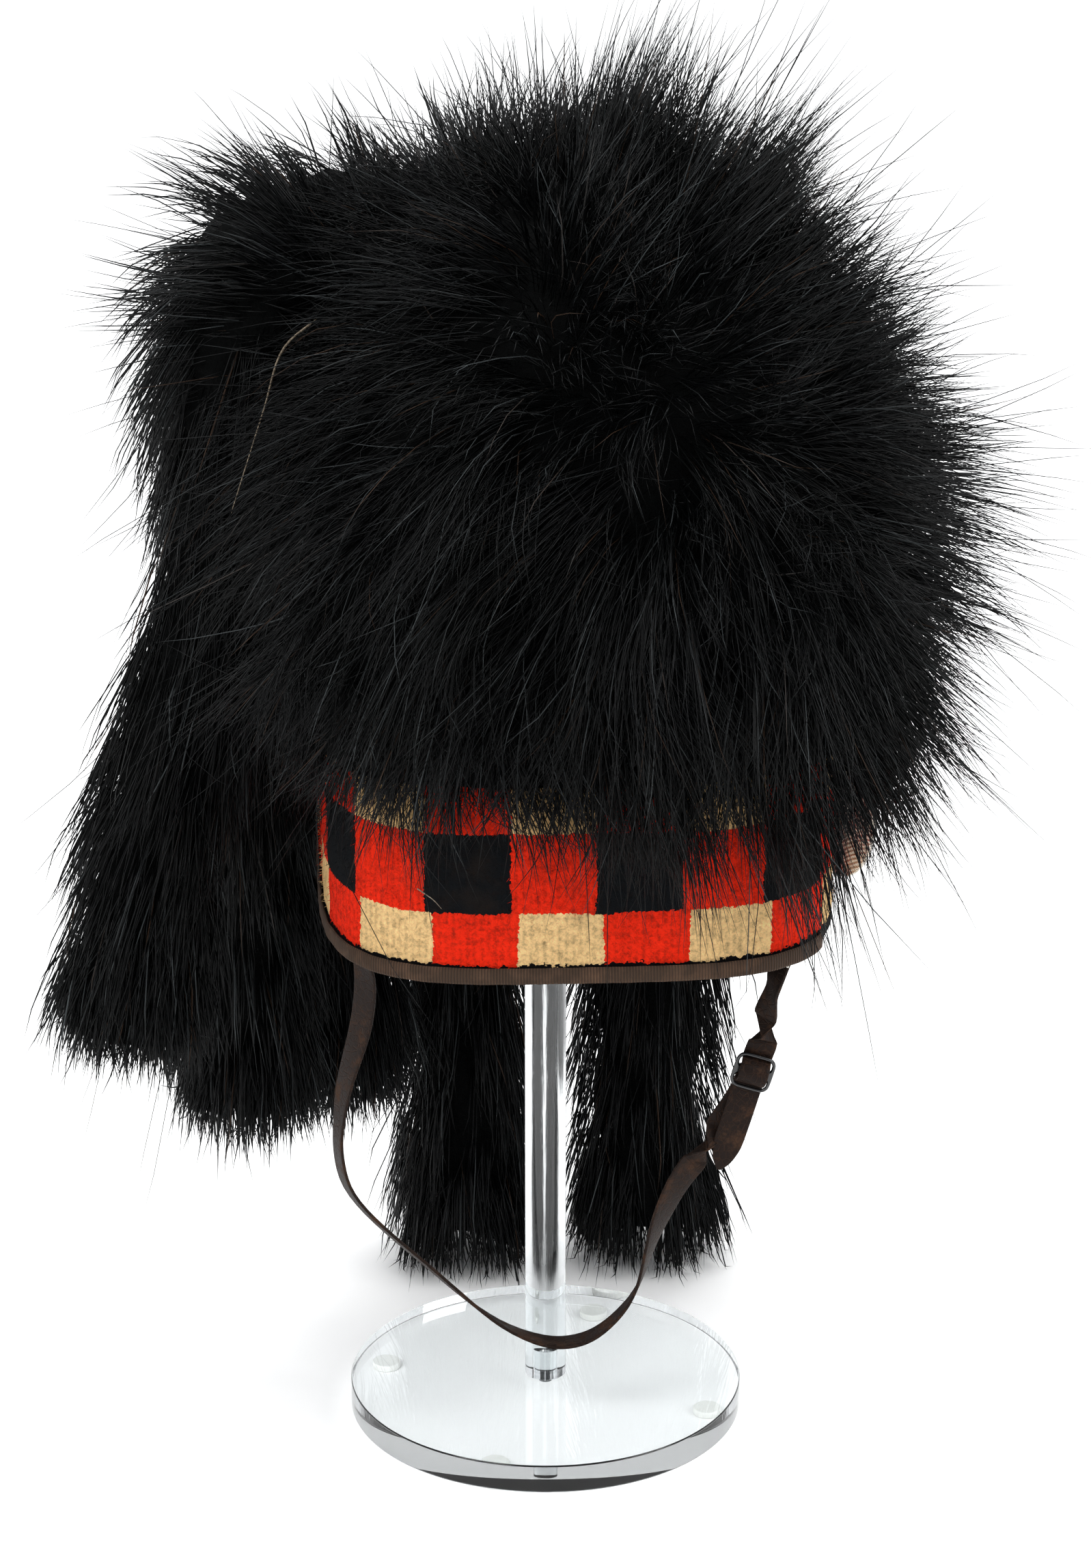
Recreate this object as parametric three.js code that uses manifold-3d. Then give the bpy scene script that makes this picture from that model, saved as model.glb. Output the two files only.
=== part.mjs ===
// A Highland feather bonnet on its display stand, in millimetres.
// Z points up, X to the right of somebody who faces the bonnet, and the bonnet's front looks
// towards -Y. The origin is the middle of the base disc's flat underside, on the rod's axis.

import * as THREE from 'three';
import { mergeVertices } from 'three/addons/utils/BufferGeometryUtils.js';
import Module from 'manifold-3d';

const wasm = await Module();
wasm.setup();

// Fits
const clearance = 0.3; // between two pieces that touch

// Stand
const baseDiameter = 125;
const baseThickness = 9.5;
const edgeBreak = 0.8; // polished edges of the discs
const footDiameter = 9;
const footHeight = 2.5; // the pads reach this far under the base
const footCircle = 108;
const footCount = 4;
const footTurn = -107; // degrees, where the first pad sits
const rodDiameter = 13;
const studDiameter = 5;
const studLength = 18;
const plateDiameter = 92;
const plateThickness = 6;

// Headband and its cloths
const rimHeight = 181.5; // base underside to the lowest edge of the binding
const rimWidth = 159.2; // over the binding, side to side
const rimDepth = 171; // over the binding, front to back
const rimPower = 3.8; // 2 is an ellipse, more is squarer
const rimOffsetX = 8.5; // the head's middle, seen from the rod
const rimOffsetY = 6;
const rimTurn = 3; // degrees that the bonnet is turned on its stand
const bandHeight = 66;
const bandWall = 2.5;
const bindingWall = 1;
const bindingReach = 6.5; // how far the ribbon climbs over each face of the rim
const liningWall = 0.8;
const hollowSlack = 0.9; // a flat strip needs this much more room inside the curved rim
const liningHeight = 15;
const tearFrom = -46; // degrees round the head, the torn bit of lining
const tearTo = -33;

// Crown: a cloth-covered cage, and the felt that the feathers are sewn to
const crownHeight = 148; // top of the band to the top of the cage
const frameWall = 2;
const feltWall = 3;

// Feathers
const lockLength = 48;
const lockWidth = 15;
const lockThickness = 7;
const crownCrest = 42; // feathers above the felt on top of the crown
const valleyDepth = 0.45; // how deep the gap between two rows of locks is, as a share
const shortLock = 0.74; // every other lock, as a share of its neighbours
const tailSpare = 2; // between a tail and the feathers of the crown beside it
const tailRadius = 25;
const tailRowPitch = 34; // along a tail, from one ring of locks to the next
const tailOverlap = 0.18; // of that pitch, how far a lock lies over the ring below it
const hangUp = 0.55; // share of crownHeight where the tails start to hang straight
const freeLockRoot = 0.3; // where a lock leaves the coat, and how much it outgrows it
const freeLockGrowth = 1.15;

// Cockade on the wearer's left
const cockadeRadius = 27;
const cockadeWall = 1.8;
const cockadePleat = 0.9;
const cockadePleats = 14;
const cockadeAzimuth = -13; // degrees round the head, 0 is the viewer's right
const cockadeLift = 10; // how far its front edge has curled off the band
const backingWall = 1;
const backingBorder = 2.5; // buckram that shows round the rosette

// Chin strap
const strapWidth = 9.2;
const strapWall = 1.1;
const strapDrop = 149.8; // rim to the lowest point of the loop
const strapTuck = 12; // length that is sewn inside the headband
const strapForward = -22; // the loop hangs this far in front of the rod's axis
const strapSlope = -12; // and its ends sit this much further forward
const tipLength = 29;
const leftSeat = 208; // degrees round the head, where the long part is sewn in
const rightSeat = -23; // and the short part

// Buckle
const wireDiameter = 1.4;
const buckleWidth = 13;
const buckleLength = 12.4;
const buckleCorner = 2.4;
const buckleTilt = -17; // degrees, as it hangs

// Facets
const roundSides = 40;
const planSides = 36;
const tailSides = 12;
const tubeSides = 8;
const wireSides = 6;

const rad = THREE.MathUtils.degToRad;
const lerp = THREE.MathUtils.lerp;
const up = new THREE.Vector3(0, 0, 1);

// Sizes that follow from the ones above
const bandBottom = rimHeight + bindingWall + clearance;
const bandTop = bandBottom + bandHeight;
const bandInset = bindingWall + clearance; // from the binding's outer face inwards
const frameInset = bandInset + bandWall + clearance;
const liningInset = frameInset + frameWall + clearance + bindingWall + clearance + hollowSlack;
const frameHalfWidth = rimWidth / 2 - frameInset;
const frameHalfDepth = rimDepth / 2 - frameInset;
const frameMeanRadius = (frameHalfWidth + frameHalfDepth) / 2;

// The cage above the band. up: share of crownHeight. spread: share of the headband's size.
// centring: 0 over the head's middle, 1 over the rod. squareness: 1 as the rim, 0 an ellipse.
const crownSections = [
  { up: 0, spread: 1.0, centring: 0, squareness: 1 },
  { up: 0.2, spread: 1.03, centring: 0.1, squareness: 0.85 },
  { up: 0.45, spread: 1.02, centring: 0.3, squareness: 0.6 },
  { up: 0.68, spread: 0.93, centring: 0.6, squareness: 0.35 },
  { up: 0.85, spread: 0.74, centring: 0.85, squareness: 0.2 },
  { up: 0.96, spread: 0.45, centring: 1, squareness: 0.1 },
  { up: 1, spread: 0, centring: 1, squareness: 0.1 },
];

// How the feathers are combed. azimuth: degrees round the head, -90 is the front and 0 the
// viewer's right. up: share of crownHeight. out, down, side: parts of the direction, off the
// felt, down over it, and round it anticlockwise seen from above. length: share of lockLength.
const combing = [
  { azimuth: -90, up: 0.1, out: 0.42, down: 1.0, side: 0.05, length: 0.8 },
  { azimuth: -135, up: 0.1, out: 0.35, down: 1.0, side: -0.25, length: 0.7 },
  { azimuth: -45, up: 0.1, out: 0.6, down: 0.85, side: 0.25, length: 1.0 },
  { azimuth: 0, up: 0.1, out: 0.8, down: 0.75, side: 0.0, length: 1.05 },
  { azimuth: 90, up: 0.1, out: 0.3, down: 1.0, side: 0.0, length: 0.5 },
  { azimuth: 180, up: 0.1, out: 0.3, down: 1.0, side: 0.0, length: 0.5 },
  { azimuth: -85, up: 0.5, out: 0.85, down: 0.6, side: 0.1, length: 0.85 },
  { azimuth: -130, up: 0.5, out: 0.75, down: 0.65, side: -0.45, length: 0.85 },
  { azimuth: -40, up: 0.5, out: 0.95, down: 0.3, side: 0.3, length: 0.9 },
  { azimuth: 0, up: 0.45, out: 1.0, down: 0.05, side: -0.1, length: 1.15 },
  { azimuth: 40, up: 0.4, out: 1.0, down: 0.3, side: 0.2, length: 0.9 },
  { azimuth: 90, up: 0.5, out: 0.6, down: 0.8, side: 0.0, length: 0.5 },
  { azimuth: 0, up: 0.85, out: 1.0, down: 0.1, side: 0.0, length: 0.85 },
  { azimuth: -60, up: 0.85, out: 1.0, down: -0.1, side: 0.3, length: 0.85 },
  { azimuth: -115, up: 0.85, out: 0.9, down: 0.1, side: -0.4, length: 0.85 },
  { azimuth: 180, up: 0.9, out: 0.9, down: 0.4, side: 0.1, length: 0.85 },
  { azimuth: 90, up: 0.9, out: 1.0, down: 0.2, side: 0.0, length: 0.85 },
];

// Rows of locks on the felt, from the hem to the top. up: share of crownHeight.
// free: every so many locks, one stands out of the coat on its own.
const lockRows = [
  { up: 0.04, free: 4 },
  { up: 0.19, free: 5 },
  { up: 0.35, free: 5 },
  { up: 0.52, free: 5 },
  { up: 0.69, free: 5 },
  { up: 0.84, free: 7 },
  { up: 0.95, free: 10 },
  { up: 0.985, free: 20 },
];

// The hanging tails, from the viewer's left round the back. root: azimuth and share of
// crownHeight where the tail is sewn on. size: share of tailRadius. shoulder: how far it stands out there, in radii.
// hang and end: azimuth, and how far the tail's middle lies outside the rim, in radii.
// endHeight: its brush end above the base's underside, as a share of rimHeight.
const tails = [
  {
    name: 'tail_1', size: 1, rootAzimuth: 193, rootUp: 0.81, shoulder: 1.1,
    hangAzimuth: 189, hangOff: 0.92, endAzimuth: 190, endOff: 2.4, endHeight: 0.71,
  },
  {
    name: 'tail_2', size: 0.96, rootAzimuth: 160, rootUp: 0.79, shoulder: 1.0,
    hangAzimuth: 157, hangOff: 1.15, endAzimuth: 156, endOff: 0.95, endHeight: 0.39,
  },
  {
    name: 'tail_3', size: 0.92, rootAzimuth: 132, rootUp: 0.77, shoulder: 0.95,
    hangAzimuth: 130, hangOff: 1.2, endAzimuth: 132, endOff: 0.25, endHeight: 0.35,
  },
  {
    name: 'tail_4', size: 1.04, rootAzimuth: 104, rootUp: 0.78, shoulder: 0.95,
    hangAzimuth: 104, hangOff: 1.17, endAzimuth: 106, endOff: 0.62, endHeight: -0.006,
  },
  {
    name: 'tail_5', size: 1.02, rootAzimuth: 75, rootUp: 0.78, shoulder: 0.95,
    hangAzimuth: 74, hangOff: 1.2, endAzimuth: 73, endOff: 0.62, endHeight: -0.006,
  },
];

// Along a tail, from its root to its brush end: how wide it is, in shares of its radius.
const tailSwell = [
  { along: 0, wide: 0.5 },
  { along: 0.07, wide: 1.0 },
  { along: 0.15, wide: 1.18 },
  { along: 0.35, wide: 1.0 },
  { along: 0.85, wide: 0.95 },
  { along: 1, wide: 1.0 },
];
const tailTaper = 0.6; // between two rings of locks, as a share of the tail's width there
const tailShortLock = 0.84; // every other lock of a ring, as a share of its neighbours

// The torn lining's ragged edge, in shares of how far it hangs under the rim.
const tear = [0.35, 1, 0.55, 0.9, 0.3, 0.75, 0.4, 0.15];

// The chin strap's long part, from the viewer's left to the buckle. across: 0 at the left
// wall, 1 at the right wall. drop: share of strapDrop. turn: degrees, 0 shows its edge to the
// front and 90 its face.
const longRoute = [
  { across: 0.026, drop: 0.117, turn: 46 },
  { across: 0.015, drop: 0.235, turn: 44 },
  { across: -0.011, drop: 0.326, turn: 32 },
  { across: -0.03, drop: 0.399, turn: 26 },
  { across: -0.042, drop: 0.49, turn: 17 },
  { across: -0.041, drop: 0.555, turn: 20 },
  { across: -0.022, drop: 0.633, turn: 24 },
  { across: 0.046, drop: 0.716, turn: 25 },
  { across: 0.148, drop: 0.808, turn: 25 },
  { across: 0.234, drop: 0.887, turn: 24 },
  { across: 0.32, drop: 0.956, turn: 16 },
  { across: 0.424, drop: 0.999, turn: 6 },
  { across: 0.493, drop: 0.997, turn: 4 },
  { across: 0.545, drop: 0.974, turn: 4 },
  { across: 0.598, drop: 0.924, turn: 6 },
  { across: 0.628, drop: 0.878, turn: 10 },
  { across: 0.645, drop: 0.832, turn: 14 },
  { across: 0.663, drop: 0.767, turn: 24 },
  { across: 0.686, drop: 0.698, turn: 42 },
  { across: 0.722, drop: 0.618, turn: 58 },
  { across: 0.76, drop: 0.562, turn: 72 },
];

// The short part, from the right wall down to the buckle.
const shortRoute = [
  { across: 0.933, drop: 0.122, turn: 28 },
  { across: 0.926, drop: 0.16, turn: 14 },
  { across: 0.912, drop: 0.22, turn: 50 },
];

// Where the buckle hangs, on the same shares.
const buckleAcross = 0.887;
const buckleDrop = 0.351;

// How the two parts run through the buckle, in shares of its half length along the strap, and
// of the lift that a strap needs to clear a wire. along: down the strap. lift: to the front.
// aside: as along, towards the viewer's right.
const shortWeave = [
  { along: -1.9, lift: -0.55 },
  { along: -1.3, lift: -0.9 },
  { along: -1.0, lift: -1.05 },
  { along: -0.8, lift: -0.74 },
  { along: -0.67, lift: 0 },
  { along: -0.52, lift: 1.0 },
  { along: -0.29, lift: 1.72 },
  { along: 0.0, lift: 1.92 },
  { along: 0.29, lift: 1.72 },
  { along: 0.52, lift: 1.0 },
  { along: 0.67, lift: 0 },
  { along: 0.8, lift: -0.74 },
  { along: 1.0, lift: -1.05 },
  { along: 1.35, lift: -0.95 },
];
const longWeave = [
  { along: 4.1, lift: -1.7, aside: -0.72 },
  { along: 2.8, lift: -1.95, aside: -0.34 },
  { along: 1.8, lift: -1.98, aside: -0.1 },
  { along: 1.0, lift: -1.98 },
  { along: 0.5, lift: -1.5 },
  { along: 0.0, lift: -1.02 },
  { along: -0.19, lift: -0.72 },
  { along: -0.27, lift: 0.0 },
  { along: -0.19, lift: 0.72 },
  { along: 0.0, lift: 1.02 },
  { along: 0.17, lift: 0.8 },
];

const group = new THREE.Group();

function paint(colour, roughness, metalness = 0) {
  return new THREE.MeshStandardMaterial({ color: colour, roughness, metalness });
}

const acrylic = paint(0xe8edf0, 0.05);
const padRubber = paint(0xd9d7d0, 0.5);
const blackCloth = paint(0x17151a, 0.9);
const feather = paint(0x0b0c0e, 0.6);
const redWool = paint(0xc8281e, 0.95);
const brownRibbon = paint(0x4a382c, 0.85);
const buckram = paint(0xd8cfb8, 0.9);
const blackSilk = paint(0x121214, 0.45);
const leather = paint(0x2b211d, 0.55);
const japannedWire = paint(0x141415, 0.3, 0.6);

function add(name, geometry, material) {
  const mesh = new THREE.Mesh(geometry, material);
  mesh.name = name;
  group.add(mesh);
  return mesh;
}

// A closed skin through rings of points. A pole closes each end; without poles the last ring
// joins the first one.
function skin(rings, startPole = null, endPole = null) {
  const sides = rings[0].length;
  const points = rings.flat();
  const triangles = [];
  const ringCount = rings.length;
  const joined = startPole ? ringCount - 1 : ringCount;
  for (let i = 0; i < joined; i += 1) {
    const a = i * sides;
    const b = ((i + 1) % ringCount) * sides;
    for (let j = 0; j < sides; j += 1) {
      const k = (j + 1) % sides;
      triangles.push(a + j, a + k, b + k, a + j, b + k, b + j);
    }
  }
  if (startPole) {
    const first = points.push(startPole) - 1;
    const last = points.push(endPole) - 1;
    const end = (ringCount - 1) * sides;
    for (let j = 0; j < sides; j += 1) {
      const k = (j + 1) % sides;
      triangles.push(first, k, j, last, end + j, end + k);
    }
  }
  return outward(points, triangles);
}

// Turns a closed surface so that its faces point out.
function outward(points, triangles) {
  let volume = 0;
  const cross = new THREE.Vector3();
  for (let i = 0; i < triangles.length; i += 3) {
    const [a, b, c] = [points[triangles[i]], points[triangles[i + 1]], points[triangles[i + 2]]];
    volume += cross.crossVectors(b, c).dot(a);
  }
  if (volume < 0) {
    for (let i = 0; i < triangles.length; i += 3) {
      [triangles[i + 1], triangles[i + 2]] = [triangles[i + 2], triangles[i + 1]];
    }
  }
  const geometry = new THREE.BufferGeometry();
  const positions = points.flatMap((point) => point.toArray());
  geometry.setAttribute('position', new THREE.Float32BufferAttribute(positions, 3));
  geometry.setIndex(triangles);
  return geometry;
}

function middle(ring) {
  const sum = new THREE.Vector3();
  for (const point of ring) sum.add(point);
  return sum.divideScalar(ring.length);
}

function solid(geometry) {
  const bare = geometry.clone();
  bare.deleteAttribute('normal');
  bare.deleteAttribute('uv');
  const merged = mergeVertices(bare, 1e-4);
  const vertProperties = new Float32Array(merged.attributes.position.array);
  const triVerts = new Uint32Array(merged.index.array);
  return new wasm.Manifold(new wasm.Mesh({ numProp: 3, vertProperties, triVerts }));
}

// The biggest connected skin of a solid, so that no hollow stays sealed inside it.
function outerSkin(body) {
  const mesh = body.getMesh();
  const parent = Array.from({ length: mesh.vertProperties.length / 3 }, (_, i) => i);
  const find = (i) => {
    let root = i;
    while (parent[root] !== root) {
      parent[root] = parent[parent[root]];
      root = parent[root];
    }
    return root;
  };
  for (let i = 0; i < mesh.triVerts.length; i += 3) {
    parent[find(mesh.triVerts[i])] = find(mesh.triVerts[i + 1]);
    parent[find(mesh.triVerts[i + 1])] = find(mesh.triVerts[i + 2]);
  }
  const sizes = new Map();
  for (const vertex of mesh.triVerts) {
    const root = find(vertex);
    sizes.set(root, (sizes.get(root) ?? 0) + 1);
  }
  const biggest = [...sizes.entries()].reduce((a, b) => (b[1] > a[1] ? b : a))[0];
  const triangles = [];
  for (let i = 0; i < mesh.triVerts.length; i += 3) {
    if (find(mesh.triVerts[i]) === biggest) triangles.push(...mesh.triVerts.slice(i, i + 3));
  }
  const geometry = new THREE.BufferGeometry();
  geometry.setAttribute('position', new THREE.BufferAttribute(mesh.vertProperties.slice(), 3));
  geometry.setIndex(triangles);
  return geometry;
}

// The crown's section at a share of crownHeight.
function sectionAt(share) {
  const clamped = THREE.MathUtils.clamp(share, 0, 1);
  let i = 1;
  while (i < crownSections.length - 1 && crownSections[i].up < clamped) i += 1;
  const [low, high] = [crownSections[i - 1], crownSections[i]];
  const t = (clamped - low.up) / (high.up - low.up);
  return {
    spread: lerp(low.spread, high.spread, t),
    centring: lerp(low.centring, high.centring, t),
    squareness: lerp(low.squareness, high.squareness, t),
  };
}

// Which way the crown's wall faces at a share of crownHeight: outwards and upwards parts.
function wallFacing(share) {
  const step = 0.04;
  const low = THREE.MathUtils.clamp(share - step, 0, 1);
  const high = THREE.MathUtils.clamp(share + step, 0, 1);
  const rise = (high - low) * crownHeight;
  const run = (sectionAt(high).spread - sectionAt(low).spread) * frameMeanRadius;
  const length = Math.hypot(rise, run);
  return { out: rise / length, up: -run / length };
}

// A point on the plan of the head: half sizes, squareness and the middle's place are given.
function planPoint(halfWidth, halfDepth, squareness, centring, azimuth, z) {
  const power = lerp(2, rimPower, squareness);
  const angle = rad(azimuth);
  const x = Math.abs(Math.cos(angle) / halfWidth) ** power;
  const y = Math.abs(Math.sin(angle) / halfDepth) ** power;
  const radius = (x + y) ** (-1 / power);
  const turned = angle + rad(rimTurn);
  return new THREE.Vector3(
    lerp(rimOffsetX, 0, centring) + radius * Math.cos(turned),
    lerp(rimOffsetY, 0, centring) + radius * Math.sin(turned),
    z,
  );
}

// A point on the headband, measured inwards from the binding's outer face.
function rimPoint(inset, azimuth, z) {
  return planPoint(rimWidth / 2 - inset, rimDepth / 2 - inset, 1, 0, azimuth, z);
}

// A point on the crown, measured outwards from the cage's outer face.
function crownPoint(share, offset, azimuth) {
  const section = sectionAt(share);
  const facing = share >= 1 ? { out: 0, up: 1 } : wallFacing(share);
  return planPoint(
    Math.max(frameHalfWidth * section.spread + offset * facing.out, 0.01),
    Math.max(frameHalfDepth * section.spread + offset * facing.out, 0.01),
    section.squareness,
    section.centring,
    azimuth,
    bandTop + share * crownHeight + offset * facing.up,
  );
}

function planRing(pointAt) {
  return Array.from({ length: planSides }, (_, j) => pointAt((360 * j) / planSides));
}

function crownRings(offset) {
  return crownSections.slice(0, -1).map(
    (section) => planRing((azimuth) => crownPoint(section.up, offset, azimuth)),
  );
}

function crownPole(offset) {
  return new THREE.Vector3(0, 0, bandTop + crownHeight + offset);
}

// Outward, downward and sideways directions on the crown's felt.
function crownDirections(share, azimuth) {
  const facing = wallFacing(share);
  const ahead = crownPoint(share, 0, azimuth + 1);
  const side = ahead.sub(crownPoint(share, 0, azimuth - 1)).normalize();
  const flat = new THREE.Vector3().crossVectors(side, up).normalize();
  const out = flat.clone().multiplyScalar(facing.out).addScaledVector(up, facing.up).normalize();
  const down = new THREE.Vector3().crossVectors(out, side).normalize();
  if (down.z > 0) down.negate();
  return { out, down, side };
}

// The combing at a place, weighed by how near each row of the table is.
function combAt(azimuth, share) {
  const sum = { out: 0, down: 0, side: 0, length: 0 };
  let total = 0;
  for (const row of combing) {
    const around = Math.abs(((azimuth - row.azimuth + 540) % 360) - 180) / 90;
    const weight = 1 / ((around ** 2 + ((share - row.up) * 2) ** 2) ** 1.5 + 0.01);
    for (const key of Object.keys(sum)) sum[key] += row[key] * weight;
    total += weight;
  }
  for (const key of Object.keys(sum)) sum[key] /= total;
  return sum;
}

// One lock of feathers: a flat tapered blade that bends towards a direction.
function lock(root, direction, bend, length, width, thickness) {
  const flatSide = new THREE.Vector3().crossVectors(direction, bend);
  if (flatSide.length() < 0.1) flatSide.crossVectors(direction, up);
  flatSide.normalize();
  const waist = root.clone().addScaledVector(direction, 0.45 * length);
  const tip = root.clone().addScaledVector(direction, 0.9 * length).addScaledVector(bend, 0.3 * length);
  const ring = (centre, along, wide, thick) => {
    const face = new THREE.Vector3().crossVectors(flatSide, along).normalize();
    return [[-1, -1], [1, -1], [1, 1], [-1, 1]].map(([a, b]) => centre.clone()
      .addScaledVector(flatSide, (a * wide) / 2)
      .addScaledVector(face, (b * thick) / 2));
  };
  const rings = [
    ring(root, direction, width * 0.6, thickness * 0.3),
    ring(waist, tip.clone().sub(root).normalize(), width, thickness),
  ];
  return { geometry: skin(rings, root, tip), reach: [root, waist, tip] };
}

// Stand

function makeStand() {
  const radius = baseDiameter / 2;
  const boreRadius = studDiameter / 2 + clearance;
  const boreDepth = studLength / 2 + clearance;
  const boreFloor = Math.max(baseThickness - boreDepth, baseThickness / 3);
  const turn = (profile, sides) => {
    const lathe = new THREE.LatheGeometry(profile.map(([r, z]) => new THREE.Vector2(r, z)), sides);
    lathe.rotateX(Math.PI / 2);
    lathe.deleteAttribute('normal');
    lathe.deleteAttribute('uv');
    return solidSkin(lathe);
  };
  add('stand_base', turn([
    [0, 0], [radius - edgeBreak, 0], [radius, edgeBreak],
    [radius, baseThickness - edgeBreak], [radius - edgeBreak, baseThickness],
    [boreRadius, baseThickness], [boreRadius, boreFloor], [0, boreFloor],
  ], roundSides), acrylic);

  for (let i = 0; i < footCount; i += 1) {
    const angle = rad(footTurn + (360 / footCount) * i);
    const footRadius = footDiameter / 2;
    const foot = add(`stand_foot_${i + 1}`, turn([
      [0, 0], [footRadius - edgeBreak, 0], [footRadius, edgeBreak],
      [footRadius, footHeight - clearance], [0, footHeight - clearance],
    ], 12), padRubber);
    foot.position.set((footCircle / 2) * Math.cos(angle), (footCircle / 2) * Math.sin(angle), -footHeight);
  }

  const plateTop = seatHeight(plateDiameter / 2);
  const rodBottom = baseThickness + clearance;
  const rodTop = plateTop - plateThickness - clearance;
  const rodRadius = rodDiameter / 2;
  const rodBore = rodBottom + boreDepth;
  add('stand_rod', turn([
    [boreRadius, rodBottom], [rodRadius, rodBottom], [rodRadius, rodTop],
    [0, rodTop], [0, rodBore], [boreRadius, rodBore], [boreRadius, rodBottom],
  ], 20), acrylic);

  const studBottom = boreFloor + clearance;
  add('stand_stud', turn([
    [0, studBottom], [studDiameter / 2, studBottom],
    [studDiameter / 2, rodBore - clearance], [0, rodBore - clearance],
  ], 10), acrylic);

  const plateRadius = plateDiameter / 2;
  add('stand_plate', turn([
    [0, plateTop - plateThickness], [plateRadius, plateTop - plateThickness],
    [plateRadius, plateTop], [0, plateTop],
  ], roundSides), acrylic);
}

function solidSkin(geometry) {
  return outerSkin(solid(geometry));
}

// The highest place where a disc on the rod's axis fits under the cage's inner face.
function seatHeight(radius) {
  const fits = (share) => planRing((azimuth) => crownPoint(share, -frameWall, azimuth))
    .every((point) => Math.hypot(point.x, point.y) > radius + clearance);
  let share = 1;
  while (share > 0 && !fits(share)) share -= 0.002;
  return crownPoint(share, -frameWall, 0).z - clearance;
}

// Headband, cage and cloths

function makeHeadband() {
  const wall = (inset, z) => planRing((azimuth) => rimPoint(inset, azimuth, z));
  const bandInner = bandInset + bandWall;
  add('diced_band', skin([
    wall(bandInset, bandBottom), wall(bandInset, bandTop),
    wall(bandInner, bandTop), wall(bandInner, bandBottom),
  ]), redWool);

  const innerLeg = frameInset + frameWall + clearance;
  const legTop = rimHeight + bindingReach;
  const legFloor = rimHeight + bindingWall;
  add('rim_binding', skin([
    wall(0, rimHeight), wall(0, legTop), wall(bindingWall, legTop), wall(bindingWall, legFloor),
    wall(innerLeg, legFloor), wall(innerLeg, legTop),
    wall(innerLeg + bindingWall, legTop), wall(innerLeg + bindingWall, rimHeight),
  ]), brownRibbon);

  const outer = [wall(frameInset, bandBottom), ...crownRings(0)];
  const inner = [wall(frameInset + frameWall, bandBottom), ...crownRings(-frameWall)];
  add(
    'crown_frame',
    skin([...inner.reverse(), ...outer], crownPole(-frameWall), crownPole(0)),
    blackCloth,
  );
}

// A torn bit of lining that hangs under the rim at the front right.
function makeTornLining() {
  const rings = tear.map((share, i) => {
    const azimuth = lerp(tearFrom, tearTo, i / (tear.length - 1));
    const top = rimHeight + liningHeight / 2;
    const bottom = rimHeight - (liningHeight / 2) * share;
    const inner = liningInset + liningWall;
    return [
      rimPoint(liningInset, azimuth, bottom), rimPoint(liningInset, azimuth, top),
      rimPoint(inner, azimuth, top), rimPoint(inner, azimuth, bottom),
    ];
  });
  add('torn_lining', skin(rings, middle(rings[0]), middle(rings[rings.length - 1])), buckram);
}

// The cockade and its backing: dished discs on the band, whose front edge has curled away.
function cockadeFrame() {
  const height = rimHeight + bindingReach + clearance + cockadeRadius + backingBorder;
  const origin = rimPoint(bandInset, cockadeAzimuth, height);
  const along = rimPoint(bandInset, cockadeAzimuth + 1, 0)
    .sub(rimPoint(bandInset, cockadeAzimuth - 1, 0)).normalize();
  const out = new THREE.Vector3().crossVectors(along, up).normalize();
  return (radius, angle, offset) => {
    const curl = Math.max(0, Math.cos(angle - rad(185))) ** 1.5;
    const lift = cockadeLift * curl * (radius / (cockadeRadius + backingBorder)) ** 2;
    return origin.clone()
      .addScaledVector(along, radius * Math.cos(angle))
      .addScaledVector(up, radius * Math.sin(angle))
      .addScaledVector(out, offset + lift);
  };
}

function makeCockade() {
  const place = cockadeFrame();
  const sides = 2 * cockadePleats;
  const disc = (radii, bottom, wall, pleat) => {
    const ring = (radius, offset, depth) => Array.from({ length: sides }, (_, j) => place(
      radius,
      (2 * Math.PI * j) / sides,
      offset + (j % 2 ? depth : 0),
    ));
    return skin(
      [
        ...radii.map((radius) => ring(radius, bottom, 0)),
        ...radii.toReversed().map((radius) => ring(radius, bottom + wall, pleat)),
      ],
      place(0, 0, bottom),
      place(0, 0, bottom + wall),
    );
  };
  const radii = [cockadeRadius * 0.55, cockadeRadius];
  const backingRadii = [...radii, cockadeRadius + backingBorder];
  const rosetteBottom = 2 * clearance + backingWall;
  add('cockade_backing', disc(backingRadii, clearance, backingWall, 0), buckram);
  add('cockade', disc(radii, rosetteBottom, cockadeWall, cockadePleat), blackSilk);
}

// The whole bonnet without its feathers, grown by a little, as room that feathers keep out of.
function bonnetRoom(bottom, offset) {
  const rings = [
    planRing((azimuth) => rimPoint(-clearance, azimuth, bottom)),
    planRing((azimuth) => rimPoint(-clearance, azimuth, rimHeight + bindingReach + clearance)),
    planRing((azimuth) => rimPoint(bandInset - clearance, azimuth, rimHeight + bindingReach + 2)),
    planRing((azimuth) => rimPoint(bandInset - clearance, azimuth, bandTop)),
    ...crownRings(offset).slice(1),
  ];
  return solid(skin(rings, middle(rings[0]), crownPole(offset)));
}

// Tails

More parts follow.
